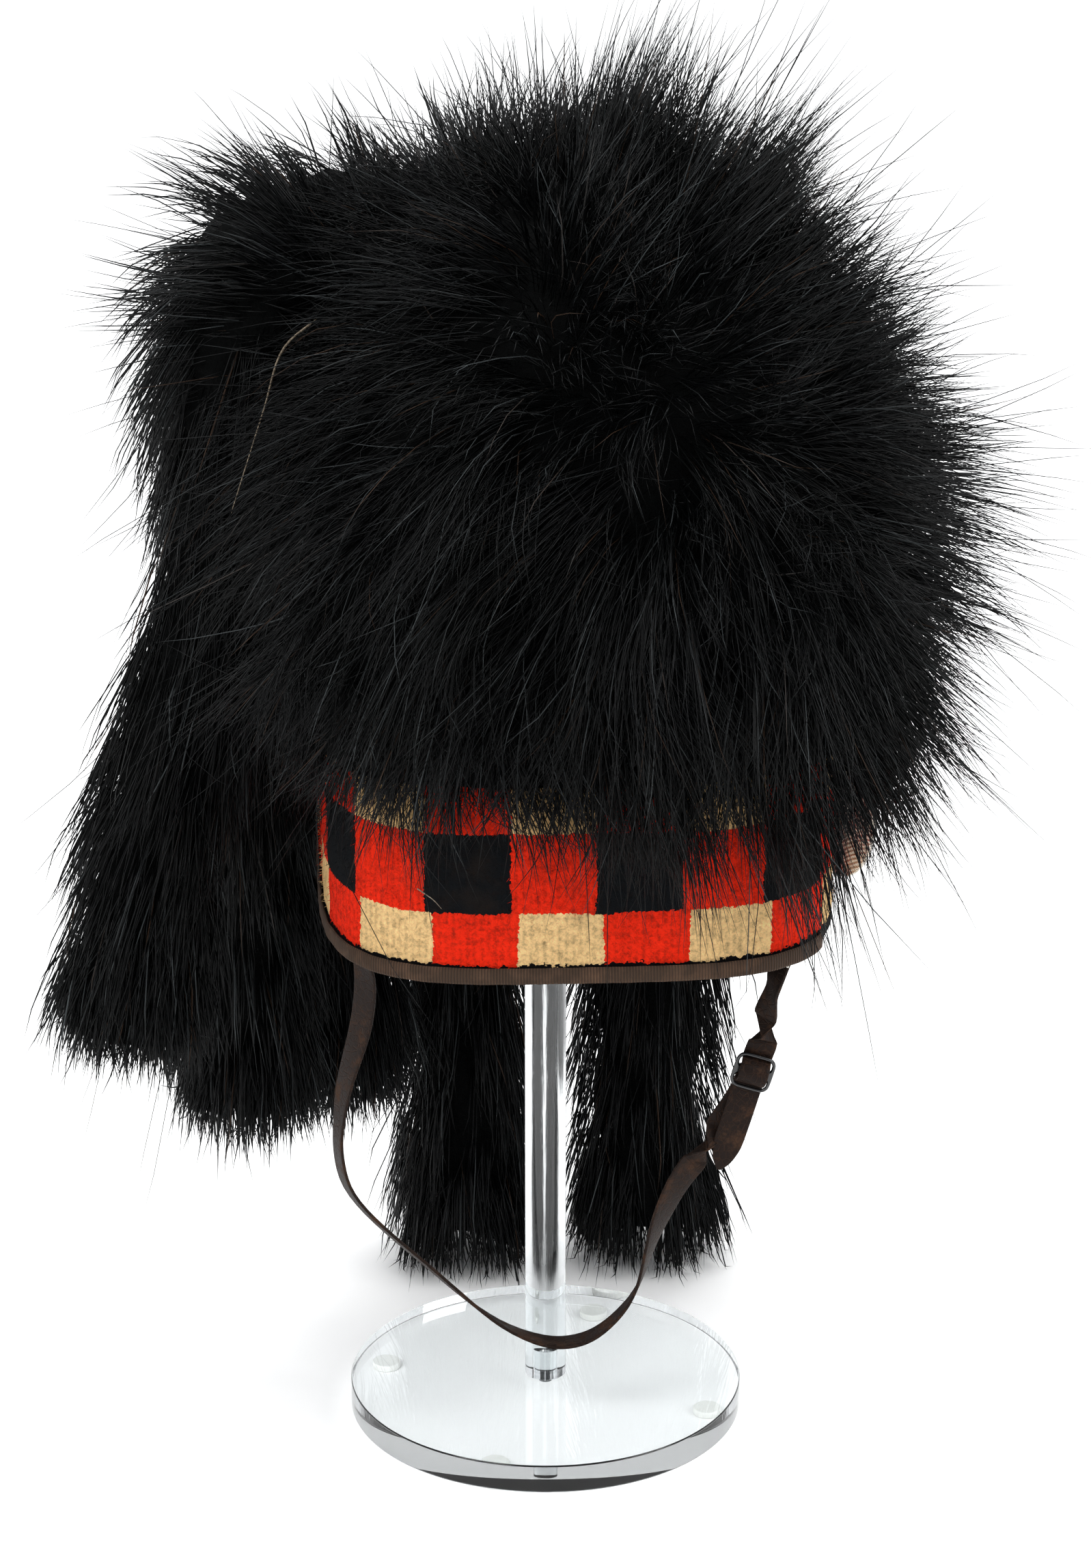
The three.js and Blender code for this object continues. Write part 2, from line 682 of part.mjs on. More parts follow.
function tailPath(tail) {
  const radius = tailRadius * tail.size;
  const feltFace = clearance + feltWall;
  const root = crownPoint(tail.rootUp, feltFace + clearance, tail.rootAzimuth);
  const facing = crownDirections(tail.rootUp, tail.rootAzimuth).out;
  const shoulder = root.clone().addScaledVector(facing, tail.shoulder * radius);
  const hangTop = bandTop + crownHeight * hangUp;
  const end = rimHeight * tail.endHeight;
  const points = [root, root.clone().addScaledVector(facing, 0.4 * radius), shoulder];
  const stations = 5;
  for (let i = 0; i < stations; i += 1) {
    const t = i / (stations - 1);
    const swing = t * t * (3 - 2 * t);
    const azimuth = lerp(tail.hangAzimuth, tail.endAzimuth, swing);
    const off = lerp(tail.hangOff, tail.endOff, swing) * radius;
    points.push(rimPoint(-off, azimuth, lerp(hangTop, end, t)));
  }
  return new THREE.CatmullRomCurve3(points, false, 'centripetal');
}

function tailWidth(tail, along) {
  let i = 1;
  while (i < tailSwell.length - 1 && tailSwell[i].along < along) i += 1;
  const [low, high] = [tailSwell[i - 1], tailSwell[i]];
  const share = (along - low.along) / (high.along - low.along);
  return tailRadius * tail.size * lerp(low.wide, high.wide, share);
}

// A ring square to a tail's path. sizeAt gives the radius at each of its corners.
function tailRing(path, along, sides, sizeAt) {
  const tangent = path.getTangentAt(along);
  const away = path.getPointAt(along).clone().setZ(0).normalize();
  const first = away.addScaledVector(up, 1.5).addScaledVector(tangent, -away.dot(tangent));
  first.addScaledVector(tangent, -first.dot(tangent)).normalize();
  const second = new THREE.Vector3().crossVectors(tangent, first).normalize();
  const centre = path.getPointAt(along);
  return Array.from({ length: sides }, (_, j) => {
    const angle = (2 * Math.PI * j) / sides;
    return centre.clone()
      .addScaledVector(first, sizeAt(j) * Math.cos(angle))
      .addScaledVector(second, sizeAt(j) * Math.sin(angle));
  });
}

// A tail: rings of locks that lie over each other like shingles, down to a flat brush end.
function makeTail(tail) {
  const path = tailPath(tail);
  const rows = Math.round(path.getLength() / tailRowPitch);
  const rings = [tailRing(path, 0, tailSides, () => tailWidth(tail, 0))];
  for (let i = 0; i < rows; i += 1) {
    const tip = Math.min((i + 1 + tailOverlap) / rows, 1);
    const tipSize = (j) => tailWidth(tail, tip) * ((i + j) % 2 ? tailShortLock : 1);
    rings.push(tailRing(path, tip, tailSides, tipSize));
    const valley = (i + 1) / rows;
    if (valley < 1) {
      rings.push(tailRing(path, valley, tailSides, () => tailWidth(tail, valley) * tailTaper));
    }
  }
  const body = solid(skin(rings, middle(rings[0]), middle(rings[rings.length - 1])));
  const room = bonnetRoom(rimHeight - clearance, feltWall + 2 * clearance);
  add(tail.name, outerSkin(body.subtract(room)), feather);
}

// The room that a tail takes, with a little to spare.
function tailRoom(tail) {
  const path = tailPath(tail);
  const steps = 10;
  const inCircle = Math.cos(Math.PI / tubeSides);
  const rings = Array.from({ length: steps + 1 }, (_, i) => tailRing(
    path,
    i / steps,
    tubeSides,
    () => (tailWidth(tail, i / steps) + tailSpare) / inCircle,
  ));
  return solid(skin(rings, middle(rings[0]), middle(rings[steps])));
}

// Crown feathers: a hollow felt dome with rows of locks fused to it.

function combedWay(azimuth, share) {
  const comb = combAt(azimuth, share);
  const { out, down, side } = crownDirections(share, azimuth);
  const way = new THREE.Vector3()
    .addScaledVector(out, comb.out)
    .addScaledVector(down, comb.down)
    .addScaledVector(side, comb.side)
    .normalize();
  const bend = down.clone().addScaledVector(up, -1).normalize();
  return { way, bend, length: lockLength * comb.length };
}

function makeCrownFeathers() {
  const innerFace = clearance;
  const outerFace = clearance + feltWall;
  const paths = tails.map((tail) => tailPath(tail).getSpacedPoints(60));
  const place = cockadeFrame();
  const obstacles = [
    ...paths.map((points, i) => ({
      points,
      radius: tailRadius * tails[i].size + tailSpare,
    })),
    { points: [place(0, 0, 0), place(0, 0, cockadeLift)], radius: cockadeRadius + backingBorder },
  ];
  const free = (point) => obstacles.every((obstacle) => obstacle.points
    .every((other) => other.distanceTo(point) > obstacle.radius + clearance));
  // The furthest place on the way from a root that stays clear of the tails and the cockade.
  const reach = (root, way, length) => {
    let share = 1;
    while (share > 0.1 && !free(root.clone().addScaledVector(way, length * share))) share -= 0.05;
    return root.clone().addScaledVector(way, length * share);
  };

  const hem = (offset) => planRing((azimuth) => crownPoint(0, offset, azimuth)
    .setZ(bandTop + clearance));
  const inner = [hem(innerFace), ...crownRings(innerFace).slice(1)];
  const coat = [hem(outerFace)];
  lockRows.forEach((row, i) => {
    const below = (azimuth) => {
      const { way, length } = combedWay(azimuth, row.up);
      return reach(crownPoint(row.up, outerFace, azimuth), way, length * (1 - valleyDepth));
    };
    if (i > 0) coat.push(planRing(below));
    coat.push(planRing((azimuth) => {
      const odd = Math.round((azimuth / 360) * planSides + i) % 2;
      const { way, length } = combedWay(azimuth, row.up);
      return reach(crownPoint(row.up, outerFace, azimuth), way, length * (odd ? shortLock : 1));
    }));
  });
  let body = solid(skin(
    [...inner.slice().reverse(), ...coat],
    crownPole(innerFace),
    crownPole(outerFace + crownCrest),
  ));

  lockRows.forEach((row, i) => {
    for (let j = 0; j < planSides; j += row.free) {
      const azimuth = (360 * (j + (i % 2 ? row.free / 2 : 0))) / planSides;
      const { way, bend, length } = combedWay(azimuth, row.up);
      const root = crownPoint(row.up, outerFace, azimuth).addScaledVector(way, length * freeLockRoot);
      const blade = lock(root, way, bend, length * freeLockGrowth, lockWidth, lockThickness);
      if (blade.reach.every(free)) body = body.add(solid(blade.geometry));
    }
  });
  for (const tail of tails) body = body.subtract(tailRoom(tail));
  body = body.subtract(bonnetRoom(0, innerFace));
  add('crown_feathers', outerSkin(body), feather);
}

// Chin strap

const strapPlane = rad(buckleTilt);
const buckleAcrossWay = new THREE.Vector3(Math.cos(strapPlane), 0, Math.sin(strapPlane));
const buckleDownWay = new THREE.Vector3(Math.sin(strapPlane), 0, -Math.cos(strapPlane));
const frontWay = new THREE.Vector3(0, -1, 0);

// The place on the headband's inner side where an end of the strap is sewn.
function wallSeat(azimuth, z) {
  return rimPoint(liningInset + strapWall / 2, azimuth, z);
}

function strapPlace(across, drop) {
  const left = wallSeat(leftSeat, 0);
  const right = wallSeat(rightSeat, 0);
  const forward = strapForward + strapSlope * Math.max(0, 1 - drop) ** 1.5;
  return new THREE.Vector3(lerp(left.x, right.x, across), forward, rimHeight - drop * strapDrop);
}

function bucklePlace(along, lift) {
  return strapPlace(buckleAcross, buckleDrop)
    .addScaledVector(buckleDownWay, along)
    .addScaledVector(frontWay, lift);
}

// Stations of the free-hanging stretch, each with the way that the strap's width runs.
function routeStations(rows, before, after) {
  const places = rows.map((row) => strapPlace(row.across, row.drop));
  return rows.map((row, i) => {
    const ahead = places[i + 1] ?? after;
    const behind = places[i - 1] ?? before;
    const tangent = ahead.clone().sub(behind).setY(0).normalize();
    const square = new THREE.Vector3().crossVectors(tangent, frontWay).normalize();
    const width = new THREE.Vector3(0, 1, 0).multiplyScalar(Math.cos(rad(row.turn)))
      .addScaledVector(square, Math.sin(rad(row.turn)));
    return { place: places[i], width };
  });
}

function weaveStations(rows, way) {
  const half = buckleLength / 2 - wireDiameter / 2;
  const lift = wireDiameter / 2 + clearance + strapWall / 2;
  return rows.map((row) => ({
    place: bucklePlace(row.along * half, row.lift * lift)
      .addScaledVector(buckleAcrossWay, (row.aside ?? 0) * half),
    width: way,
  }));
}

function wallStations(azimuth, way) {
  return [strapTuck, strapTuck / 2, 0].map((height) => ({
    place: wallSeat(azimuth, rimHeight + height),
    width: way,
  }));
}

// A flat strap through stations; taper gives the width at the last few of them.
function ribbon(stations, stepsEach, taper = []) {
  const curve = new THREE.CatmullRomCurve3(stations.map((s) => s.place), false, 'centripetal');
  const spans = stations.length - 1;
  const steps = spans * stepsEach;
  const widthAt = (index) => taper[index - (stations.length - taper.length)] ?? 1;
  const rings = [];
  for (let i = 0; i <= steps; i += 1) {
    const t = i / steps;
    const low = Math.min(Math.floor(t * spans), spans - 1);
    const part = t * spans - low;
    const tangent = curve.getTangent(t);
    const centre = curve.getPoint(t);
    const way = stations[low].width.clone().lerp(stations[low + 1].width, part);
    const face = new THREE.Vector3().crossVectors(tangent, way).normalize();
    const wide = new THREE.Vector3().crossVectors(face, tangent).normalize();
    const half = (strapWidth / 2) * lerp(widthAt(low), widthAt(low + 1), part);
    rings.push([[-1, -1], [1, -1], [1, 1], [-1, 1]].map(([a, b]) => centre.clone()
      .addScaledVector(wide, a * half)
      .addScaledVector(face, (b * strapWall) / 2)));
  }
  return skin(rings, middle(rings[0]), middle(rings[rings.length - 1]));
}

function makeChinStrap() {
  const wallWay = (azimuth) => {
    const way = rimPoint(0, azimuth - 1, 0).sub(rimPoint(0, azimuth + 1, 0)).normalize();
    return way.y < 0 ? way.negate() : way;
  };
  const longEnd = weaveStations(longWeave, buckleAcrossWay.clone().negate());
  const longPart = [
    ...wallStations(leftSeat, wallWay(leftSeat)),
    ...routeStations(longRoute, wallSeat(leftSeat, rimHeight), longEnd[0].place),
    ...longEnd,
  ];
  add('chin_strap_long', ribbon(longPart, 2), leather);

  const shortEnd = bucklePlace((shortWeave[0].along * buckleLength) / 2, 0);
  const tip = [0.35, 0.7, 0.9, 1].map((share) => ({
    place: bucklePlace(buckleLength / 2 + tipLength * share, -strapWall * 0.6),
    width: buckleAcrossWay,
  }));
  const shortPart = [
    ...wallStations(rightSeat, wallWay(rightSeat)),
    ...routeStations(shortRoute, wallSeat(rightSeat, rimHeight), shortEnd),
    ...weaveStations(shortWeave, buckleAcrossWay),
    ...tip,
  ];
  add('chin_strap_short', ribbon(shortPart, 2, [1, 0.62, 0.12]), leather);
}

function makeBuckle() {
  const halfWide = buckleWidth / 2 - wireDiameter / 2;
  const halfLong = buckleLength / 2 - wireDiameter / 2;
  const cornerSteps = 4;
  const outline = [];
  for (const [a, b, start] of [[1, 1, 0], [-1, 1, 90], [-1, -1, 180], [1, -1, 270]]) {
    for (let i = 0; i <= cornerSteps; i += 1) {
      const angle = rad(start + (90 * i) / cornerSteps);
      outline.push({
        u: a * (halfWide - buckleCorner) + buckleCorner * Math.cos(angle),
        v: b * (halfLong - buckleCorner) + buckleCorner * Math.sin(angle),
        angle,
      });
    }
  }
  const centre = bucklePlace(0, 0);
  const at = (u, v, lift) => centre.clone()
    .addScaledVector(buckleAcrossWay, u)
    .addScaledVector(buckleDownWay, v)
    .addScaledVector(frontWay, lift);
  const wire = wireDiameter / 2;
  const loop = skin(outline.map((corner) => Array.from({ length: wireSides }, (_, j) => {
    const spin = (2 * Math.PI * j) / wireSides;
    const out = wire * Math.cos(spin);
    return at(
      corner.u + out * Math.cos(corner.angle),
      corner.v + out * Math.sin(corner.angle),
      wire * Math.sin(spin),
    );
  })));
  const barRing = (u) => Array.from({ length: wireSides }, (_, j) => {
    const spin = (2 * Math.PI * j) / wireSides;
    return at(u, wire * Math.cos(spin), wire * Math.sin(spin));
  });
  const barEnds = [barRing(-halfWide), barRing(halfWide)];
  const bar = skin(barEnds, middle(barEnds[0]), middle(barEnds[1]));
  add('chin_buckle', outerSkin(solid(loop).add(solid(bar))), japannedWire);
}

makeStand();
makeHeadband();
makeTornLining();
makeCockade();
makeCrownFeathers();
tails.forEach(makeTail);
makeChinStrap();
makeBuckle();

export default group;
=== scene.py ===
# The looks of a Highland feather bonnet on its clear stand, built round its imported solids.
# Tables and settings are in millimetres and degrees, the scene is in metres. Z points up and
# the bonnet's front looks towards -Y. Azimuth is measured round the head: -90 is the front,
# 0 the viewer's right.
import math

import bpy
import numpy as np
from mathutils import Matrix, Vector


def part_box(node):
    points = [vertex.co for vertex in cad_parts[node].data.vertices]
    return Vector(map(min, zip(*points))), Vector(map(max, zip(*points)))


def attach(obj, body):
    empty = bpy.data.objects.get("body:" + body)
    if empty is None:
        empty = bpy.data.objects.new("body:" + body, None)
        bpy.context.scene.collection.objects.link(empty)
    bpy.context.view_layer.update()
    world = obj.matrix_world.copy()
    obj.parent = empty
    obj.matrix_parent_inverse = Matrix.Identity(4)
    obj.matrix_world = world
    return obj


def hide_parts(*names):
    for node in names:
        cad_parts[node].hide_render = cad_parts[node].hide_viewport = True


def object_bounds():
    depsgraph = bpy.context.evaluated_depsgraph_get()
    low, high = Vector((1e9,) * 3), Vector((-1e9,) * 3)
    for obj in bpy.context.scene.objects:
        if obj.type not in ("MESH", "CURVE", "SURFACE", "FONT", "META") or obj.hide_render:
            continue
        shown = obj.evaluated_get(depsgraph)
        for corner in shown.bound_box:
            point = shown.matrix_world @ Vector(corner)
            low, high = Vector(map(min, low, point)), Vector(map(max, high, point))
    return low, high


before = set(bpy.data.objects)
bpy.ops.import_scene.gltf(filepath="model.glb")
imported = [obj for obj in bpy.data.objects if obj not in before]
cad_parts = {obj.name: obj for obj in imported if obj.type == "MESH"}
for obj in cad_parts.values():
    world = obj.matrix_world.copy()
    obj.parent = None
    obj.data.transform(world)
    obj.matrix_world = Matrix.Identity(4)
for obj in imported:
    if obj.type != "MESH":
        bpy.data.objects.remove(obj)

bl_info = {
    "name": "Feather bonnet",
    "version": (1, 0, 0),
    "blender": (4, 5, 0),
    "location": "3D View > Sidebar > Bonnet",
    "description": "Builds a feather bonnet with a diced band on a clear stand",
    "category": "Object",
}

CAD_BOX = [list(corner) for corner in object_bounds()]
MM = 0.001
SEED = 1868

# How much further out than the solids the strands may reach: a share of each side, and more.
SPARE_SHARE, SPARE = 0.03, 8

# Headband, as its solids
RIM_HEIGHT = 181.5
RIM_WIDTH, RIM_DEPTH, RIM_POWER = 159.2, 171.0, 3.8
RIM_OFFSET_X, RIM_OFFSET_Y, RIM_TURN = 8.5, 6.0, 3.0
CLEARANCE = 0.3
BAND_WALL, BAND_HEIGHT = 2.5, 66
BINDING_WALL, BINDING_REACH = 1.0, 6.5
BAND_BOTTOM = RIM_HEIGHT + BINDING_WALL + CLEARANCE
BAND_TOP = BAND_BOTTOM + BAND_HEIGHT
FRAME_WALL = 2
BAND_INSET = BINDING_WALL + CLEARANCE
FRAME_INSET = BAND_INSET + BAND_WALL + CLEARANCE
CROWN_HEIGHT = 148
FLOOR = CAD_BOX[0][2] / MM

# The crown above the band. up: share of CROWN_HEIGHT. spread: share of the headband's size.
# centring: 0 over the head's middle, 1 over the rod. squareness: 1 as the rim, 0 an ellipse.
CROWN_UP = (0, 0.2, 0.45, 0.68, 0.85, 0.96, 1)
CROWN_SPREAD = (1.0, 1.03, 1.02, 0.93, 0.74, 0.45, 0.03)
CROWN_CENTRING = (0, 0.1, 0.3, 0.6, 0.85, 1, 1)
CROWN_SQUARENESS = (1, 0.85, 0.6, 0.35, 0.2, 0.1, 0.1)

# How the crown's feathers are combed: azimuth, up, then the parts of their direction off the
# felt, down over it and round it anticlockwise, their length in shares of the feather length,
# and how much they droop towards their tips, below 0 if they curl up.
COMBING = (
    (-90, 0.02, 0.42, 1.00, 0.03, 0.68, 0.4),
    (-130, 0.02, 0.35, 1.00, -0.25, 0.36, 0.4),
    (-60, 0.02, 0.48, 1.00, 0.20, 1.06, 0.4),
    (-30, 0.05, 0.60, 0.95, 0.15, 1.28, 0.5),
    (5, 0.05, 0.75, 0.80, 0.00, 1.20, 0.3),
    (90, 0.10, 0.30, 1.00, 0.00, 0.60, 0.3),
    (180, 0.10, 0.30, 1.00, 0.00, 0.60, 0.3),
    (-100, 0.30, 0.50, 0.60, -0.50, 0.90, 1.1),
    (-70, 0.30, 0.58, 0.70, 0.12, 0.95, 0.7),
    (-135, 0.45, 0.55, 0.45, -0.75, 0.95, 1.2),
    (-105, 0.60, 0.55, 0.20, -0.85, 1.00, 1.2),
    (-78, 0.62, 0.70, 0.38, -0.35, 0.90, 0.7),
    (-40, 0.50, 0.95, 0.30, 0.30, 0.95, 0.4),
    (-35, 0.70, 0.90, -0.25, 0.35, 0.85, -0.1),
    (-3, 0.42, 1.00, 0.10, -0.05, 1.12, 0.1),
    (0, 0.75, 1.00, -0.10, 0.10, 0.50, -0.4),
    (0, 0.20, 1.00, 0.40, 0.00, 1.12, 0.2),
    (40, 0.40, 1.00, 0.30, 0.20, 1.00, 0.2),
    (90, 0.50, 0.60, 0.80, 0.00, 0.70, 0.3),
    (-75, 0.85, 0.80, -0.30, 0.15, 0.90, -0.1),
    (-45, 0.90, 1.00, -0.25, 0.45, 1.15, -0.2),
    (-120, 0.85, 0.65, 0.15, -0.85, 0.90, 0.8),
    (180, 0.88, 0.80, 0.40, 0.00, 0.50, 0.4),
    (90, 0.90, 1.00, 0.20, 0.00, 0.70, 0.2),
    (0, 0.97, 1.00, -0.20, 0.30, 0.92, -0.1),
    (-140, 0.97, 0.80, 0.10, -0.60, 0.60, 0.6),
)

# The hanging tails: name, share of TAIL_RADIUS, root azimuth and up, shoulder, then azimuth and
# distance off the rim, in radii, where they start to hang and at their end, and end height.
TAIL_RADIUS = 25
TAILS = (
    ("tail_1", 1.00, 193, 0.81, 1.10, 189, 0.92, 190, 2.40, 0.71),
    ("tail_2", 0.96, 160, 0.79, 1.00, 157, 1.15, 156, 0.95, 0.39),
    ("tail_3", 0.92, 132, 0.77, 0.95, 130, 1.20, 132, 0.25, 0.35),
    ("tail_4", 1.04, 104, 0.78, 0.95, 104, 1.17, 106, 0.62, -0.006),
    ("tail_5", 1.02, 75, 0.78, 0.95, 74, 1.20, 73, 0.62, -0.006),
)

# The share of the crown's height where the tails start to hang, how a tail's thickness goes
# along it, where its shoulder ends, how the first tail's shoulder puffs out, the length of the
# brush at its end, how low a brush is that hangs beside the base, the core's share of the
# thickness, and the turn in radians from one lock to the next.
HANG_UP = 0.55
TAIL_ALONG = (0, 0.07, 0.15, 0.35, 0.85, 1)
TAIL_SWELL = (0.5, 1.0, 1.18, 1.0, 0.95, 1.0)
SHOULDER_END = 0.14
SHOULDER_PUFF = (-0.7, 0, 0.6)
BRUSH = 46
LOW_BRUSH = 20
CORE_SHARE = 0.66
GOLDEN_ANGLE = 2.39996

# The locks that the strands grow in: how far the strands stand apart at the root and the tip,
# how much each one curls, how much each lock swings, and the places along a strand. Wisps are
# single longer strands among them.
CROWN_LOCK = {"root_spread": 5.5, "tip_spread": 8, "curl": 5.0, "sweep": 6, "places": (0, 0.35, 0.72, 1)}
CROWN_WISP = {
    "root_spread": 6, "tip_spread": 10, "curl": 9, "sweep": 6, "places": (0, 0.2, 0.42, 0.64, 0.84, 1),
}
TAIL_LOCK = {"root_spread": 5, "tip_spread": 5.5, "curl": 2.2, "sweep": 1.5, "places": (0, 0.35, 0.75, 1)}
TAIL_WISP = {"root_spread": 5, "tip_spread": 9, "curl": 7, "sweep": 0, "places": (0, 0.3, 0.6, 0.85, 1)}
CROWN_WISPS, TAIL_LOCK_STRANDS, TAIL_WISPS = 3, 18, 1
WISP_LENGTH = 1.3
TAPER = (1.0, 0.85)

# Fuzz of the woollen band: how many fibres, their radius, and their taper.
FUZZ_COUNT, FUZZ_RADIUS, FUZZ_TAPER = 4500, 0.1, (1, 0.7)

# Checks of the band: the azimuth where one of them starts, the heights between the rows, how
# far the upper rows are knitted out of line, the width of a stitch, and the height of the
# ribbon's visible part.
CHECK_AZIMUTH = -104.3
ROW_EDGES = (BAND_BOTTOM + 21.0, BAND_BOTTOM + 46.5)
ROW_STEP = 2.3
STITCH = 2.1
RIBBON_REACH = 5.2
RIBBON_RIB = 0.9

# Stray strands that lie on top of the rest: name, radius, and the points they run through.
STRAYS = (
    ("bare_shaft", 0.45, ((-66, -48, 379), (-76, -52, 371), (-82, -55, 353), (-92, -58, 322))),
    ("white_thread", 0.25, ((-38, -84, 214.5), (-33, -86, 211.5), (-30.5, -86, 208.5))),
)
STRAY_PLACES = 26

# The soft lamps: name, place and size in metres, and power in watts. Then what they aim at, and
# the light of the room and of its dim part.
LAMPS = (
    ("key_light", (-1.1, -1.3, 1.7), 1.2, 34),
    ("fill_light", (1.5, -0.7, 1.3), 1.0, 20),
    ("top_light", (0.1, 0.6, 2.0), 1.3, 26),
)
LAMP_AIM = (0, 0, 0.25)
WORLD_PALE, WORLD_DIM = (0.9, 0.91, 0.93), (0.25, 0.26, 0.29)

# The camera: its place in metres, how far it looks down, and its lens on a sensor in mm.
CAMERA_PLACE = (0, -1.6408, 0.87525)
CAMERA_DOWN = 21.957
CAMERA_LENS, CAMERA_SENSOR = 131.56, 36

# Materials that the crown and the tails share
FEATHER_NAME, DOWN_NAME = "Dyed ostrich feather", "Black wool felt"

# Faces that meet at less than this are shaded as one smooth surface.
SMOOTH_ANGLE = math.radians(50)


def linear(hex_colour):
    """Turns an sRGB hex colour into linear numbers."""
    values = [int(hex_colour[i:i + 2], 16) / 255 for i in (1, 3, 5)]
    return [v / 12.92 if v <= 0.04045 else ((v + 0.055) / 1.055) ** 2.4 for v in values]


def length_prop(name, description, default, low, high):
    """A length in millimetres."""
    return bpy.props.FloatProperty(
        name=name, description=description, default=default * MM, min=low * MM, max=high * MM,
        unit="LENGTH",
    )


def count_prop(name, description, default, low, high):
    return bpy.props.IntProperty(
        name=name, description=description, default=default, min=low, max=high)


def colour_prop(name, description, default):
    return bpy.props.FloatVectorProperty(
        name=name, description=description, subtype="COLOR", size=3, min=0, max=1,
        default=linear(default),
    )


class BonnetSettings(bpy.types.PropertyGroup):
    """Sizes and colours of the bonnet that a user may change."""
    feather_length: length_prop("Feather length", "Length of the crown's feather strands", 54, 20, 80)
    lock_spacing: length_prop("Lock spacing", "From one lock of the crown to the next", 8.2, 5, 20)
    lock_strands: count_prop("Strands in a lock", "Strands in each lock of the crown", 29, 4, 60)
    tail_locks: count_prop("Locks in a tail", "Locks on each hanging tail", 330, 20, 600)
    strand_radius: length_prop("Strand radius", "Half a feather strand's thickness", 0.21, 0.1, 1)
    check_width: length_prop("Check width", "Width of one check of the diced band", 25.6, 10, 60)
    feather_colour: colour_prop("Feather", "Dye of the feathers", "#050606")
    # Colour of the painted highlight on the strands that stand in for glints.
    feather_glint: colour_prop("Feather glint", "The lightest strands", "#3f4344")
    feather_faded: colour_prop("Faded feather", "Strands that have gone brown", "#32241a")
    red_wool: colour_prop("Red wool", "Red checks of the band", "#f42c10")
    cream_wool: colour_prop("Cream wool", "Cream checks of the band", "#f9d092")
    blue_wool: colour_prop("Blue wool", "Dark checks of the band", "#0c0f12")
    ribbon_brown: colour_prop("Ribbon", "Brown ribbon round the rim", "#413023")
    leather_dark: colour_prop("Leather", "Chin strap, where its finish is whole", "#1a110d")
    leather_worn: colour_prop("Worn leather", "Chin strap, where it has worn", "#3d2a1e")


def settings():
    return bpy.context.scene.bonnet


# Shapes of the crown, the rim and the tails


def unit(vectors):
    return vectors / np.maximum(np.linalg.norm(vectors, axis=-1, keepdims=True), 1e-9)


def run_along(points):
    """The distance run along a line of points, from 0 at the first."""
    return np.concatenate(([0], np.cumsum(np.linalg.norm(np.diff(points, axis=0), axis=1))))


def between(at, run, values):
    """Rows of values between those given at each run."""
    return np.stack([np.interp(at, run, values[:, k]) for k in range(3)], axis=1)


def across_path(tangent):
    """Two ways square to a path that hangs."""
    level = unit(np.cross(tangent, (0.0, 0.31, 0.95)))
    return level, np.cross(tangent, level)


def plan_point(half_width, half_depth, squareness, centring, azimuth, z):
    """Points on the plan of the head, for arrays of azimuths in degrees."""
    power = 2 + (RIM_POWER - 2) * squareness
    angle = np.radians(azimuth)
    reach = (np.abs(np.cos(angle) / half_width) ** power
             + np.abs(np.sin(angle) / half_depth) ** power) ** (-1 / power)
    turned = angle + math.radians(RIM_TURN)
    x = RIM_OFFSET_X * (1 - centring) + reach * np.cos(turned)
    y = RIM_OFFSET_Y * (1 - centring) + reach * np.sin(turned)
    return np.stack(np.broadcast_arrays(x, y, z), axis=-1)


def rim_point(inset, azimuth, z):
    return plan_point(RIM_WIDTH / 2 - inset, RIM_DEPTH / 2 - inset, 1, 0, azimuth, z)


def facing(share):
    """The outward and upward parts of the way the crown's wall faces."""
    low, high = np.clip(share - 0.04, 0, 1), np.clip(share + 0.04, 0, 1)
    mean = (RIM_WIDTH + RIM_DEPTH) / 4 - FRAME_INSET
    rise = (high - low) * CROWN_HEIGHT
    run = (np.interp(high, CROWN_UP, CROWN_SPREAD) - np.interp(low, CROWN_UP, CROWN_SPREAD)) * mean
    size = np.hypot(rise, run)
    return rise / size, -run / size


def crown_point(share, offset, azimuth):
    spread = np.interp(share, CROWN_UP, CROWN_SPREAD)
    out, high = facing(share)
    return plan_point(
        (RIM_WIDTH / 2 - FRAME_INSET) * spread + offset * out,
        (RIM_DEPTH / 2 - FRAME_INSET) * spread + offset * out,
        np.interp(share, CROWN_UP, CROWN_SQUARENESS),
        np.interp(share, CROWN_UP, CROWN_CENTRING),
        azimuth,
        BAND_TOP + share * CROWN_HEIGHT + offset * high,
    )


def crown_directions(share, azimuth):
    """Off the felt, down over it, and round it."""
    side = unit(crown_point(share, 0, azimuth + 1) - crown_point(share, 0, azimuth - 1))
    flat = unit(np.cross(side, (0, 0, 1)))
    out, high = facing(share)
    off = unit(flat * np.reshape(out, (-1, 1)) + np.reshape(high, (-1, 1)) * np.array((0, 0, 1)))
    down = unit(np.cross(off, side))
    down[down[:, 2] > 0] *= -1
    return off, down, side


def combed(share, azimuth):
    table = np.array(COMBING)
    around = np.abs((azimuth[:, None] - table[None, :, 0] + 540) % 360 - 180) / 90
    near = 1 / ((around ** 2 + ((share[:, None] - table[None, :, 1]) * 2) ** 2) ** 1.5 + 0.006)
    near /= near.sum(axis=1, keepdims=True)
    return near @ table[:, 2:]


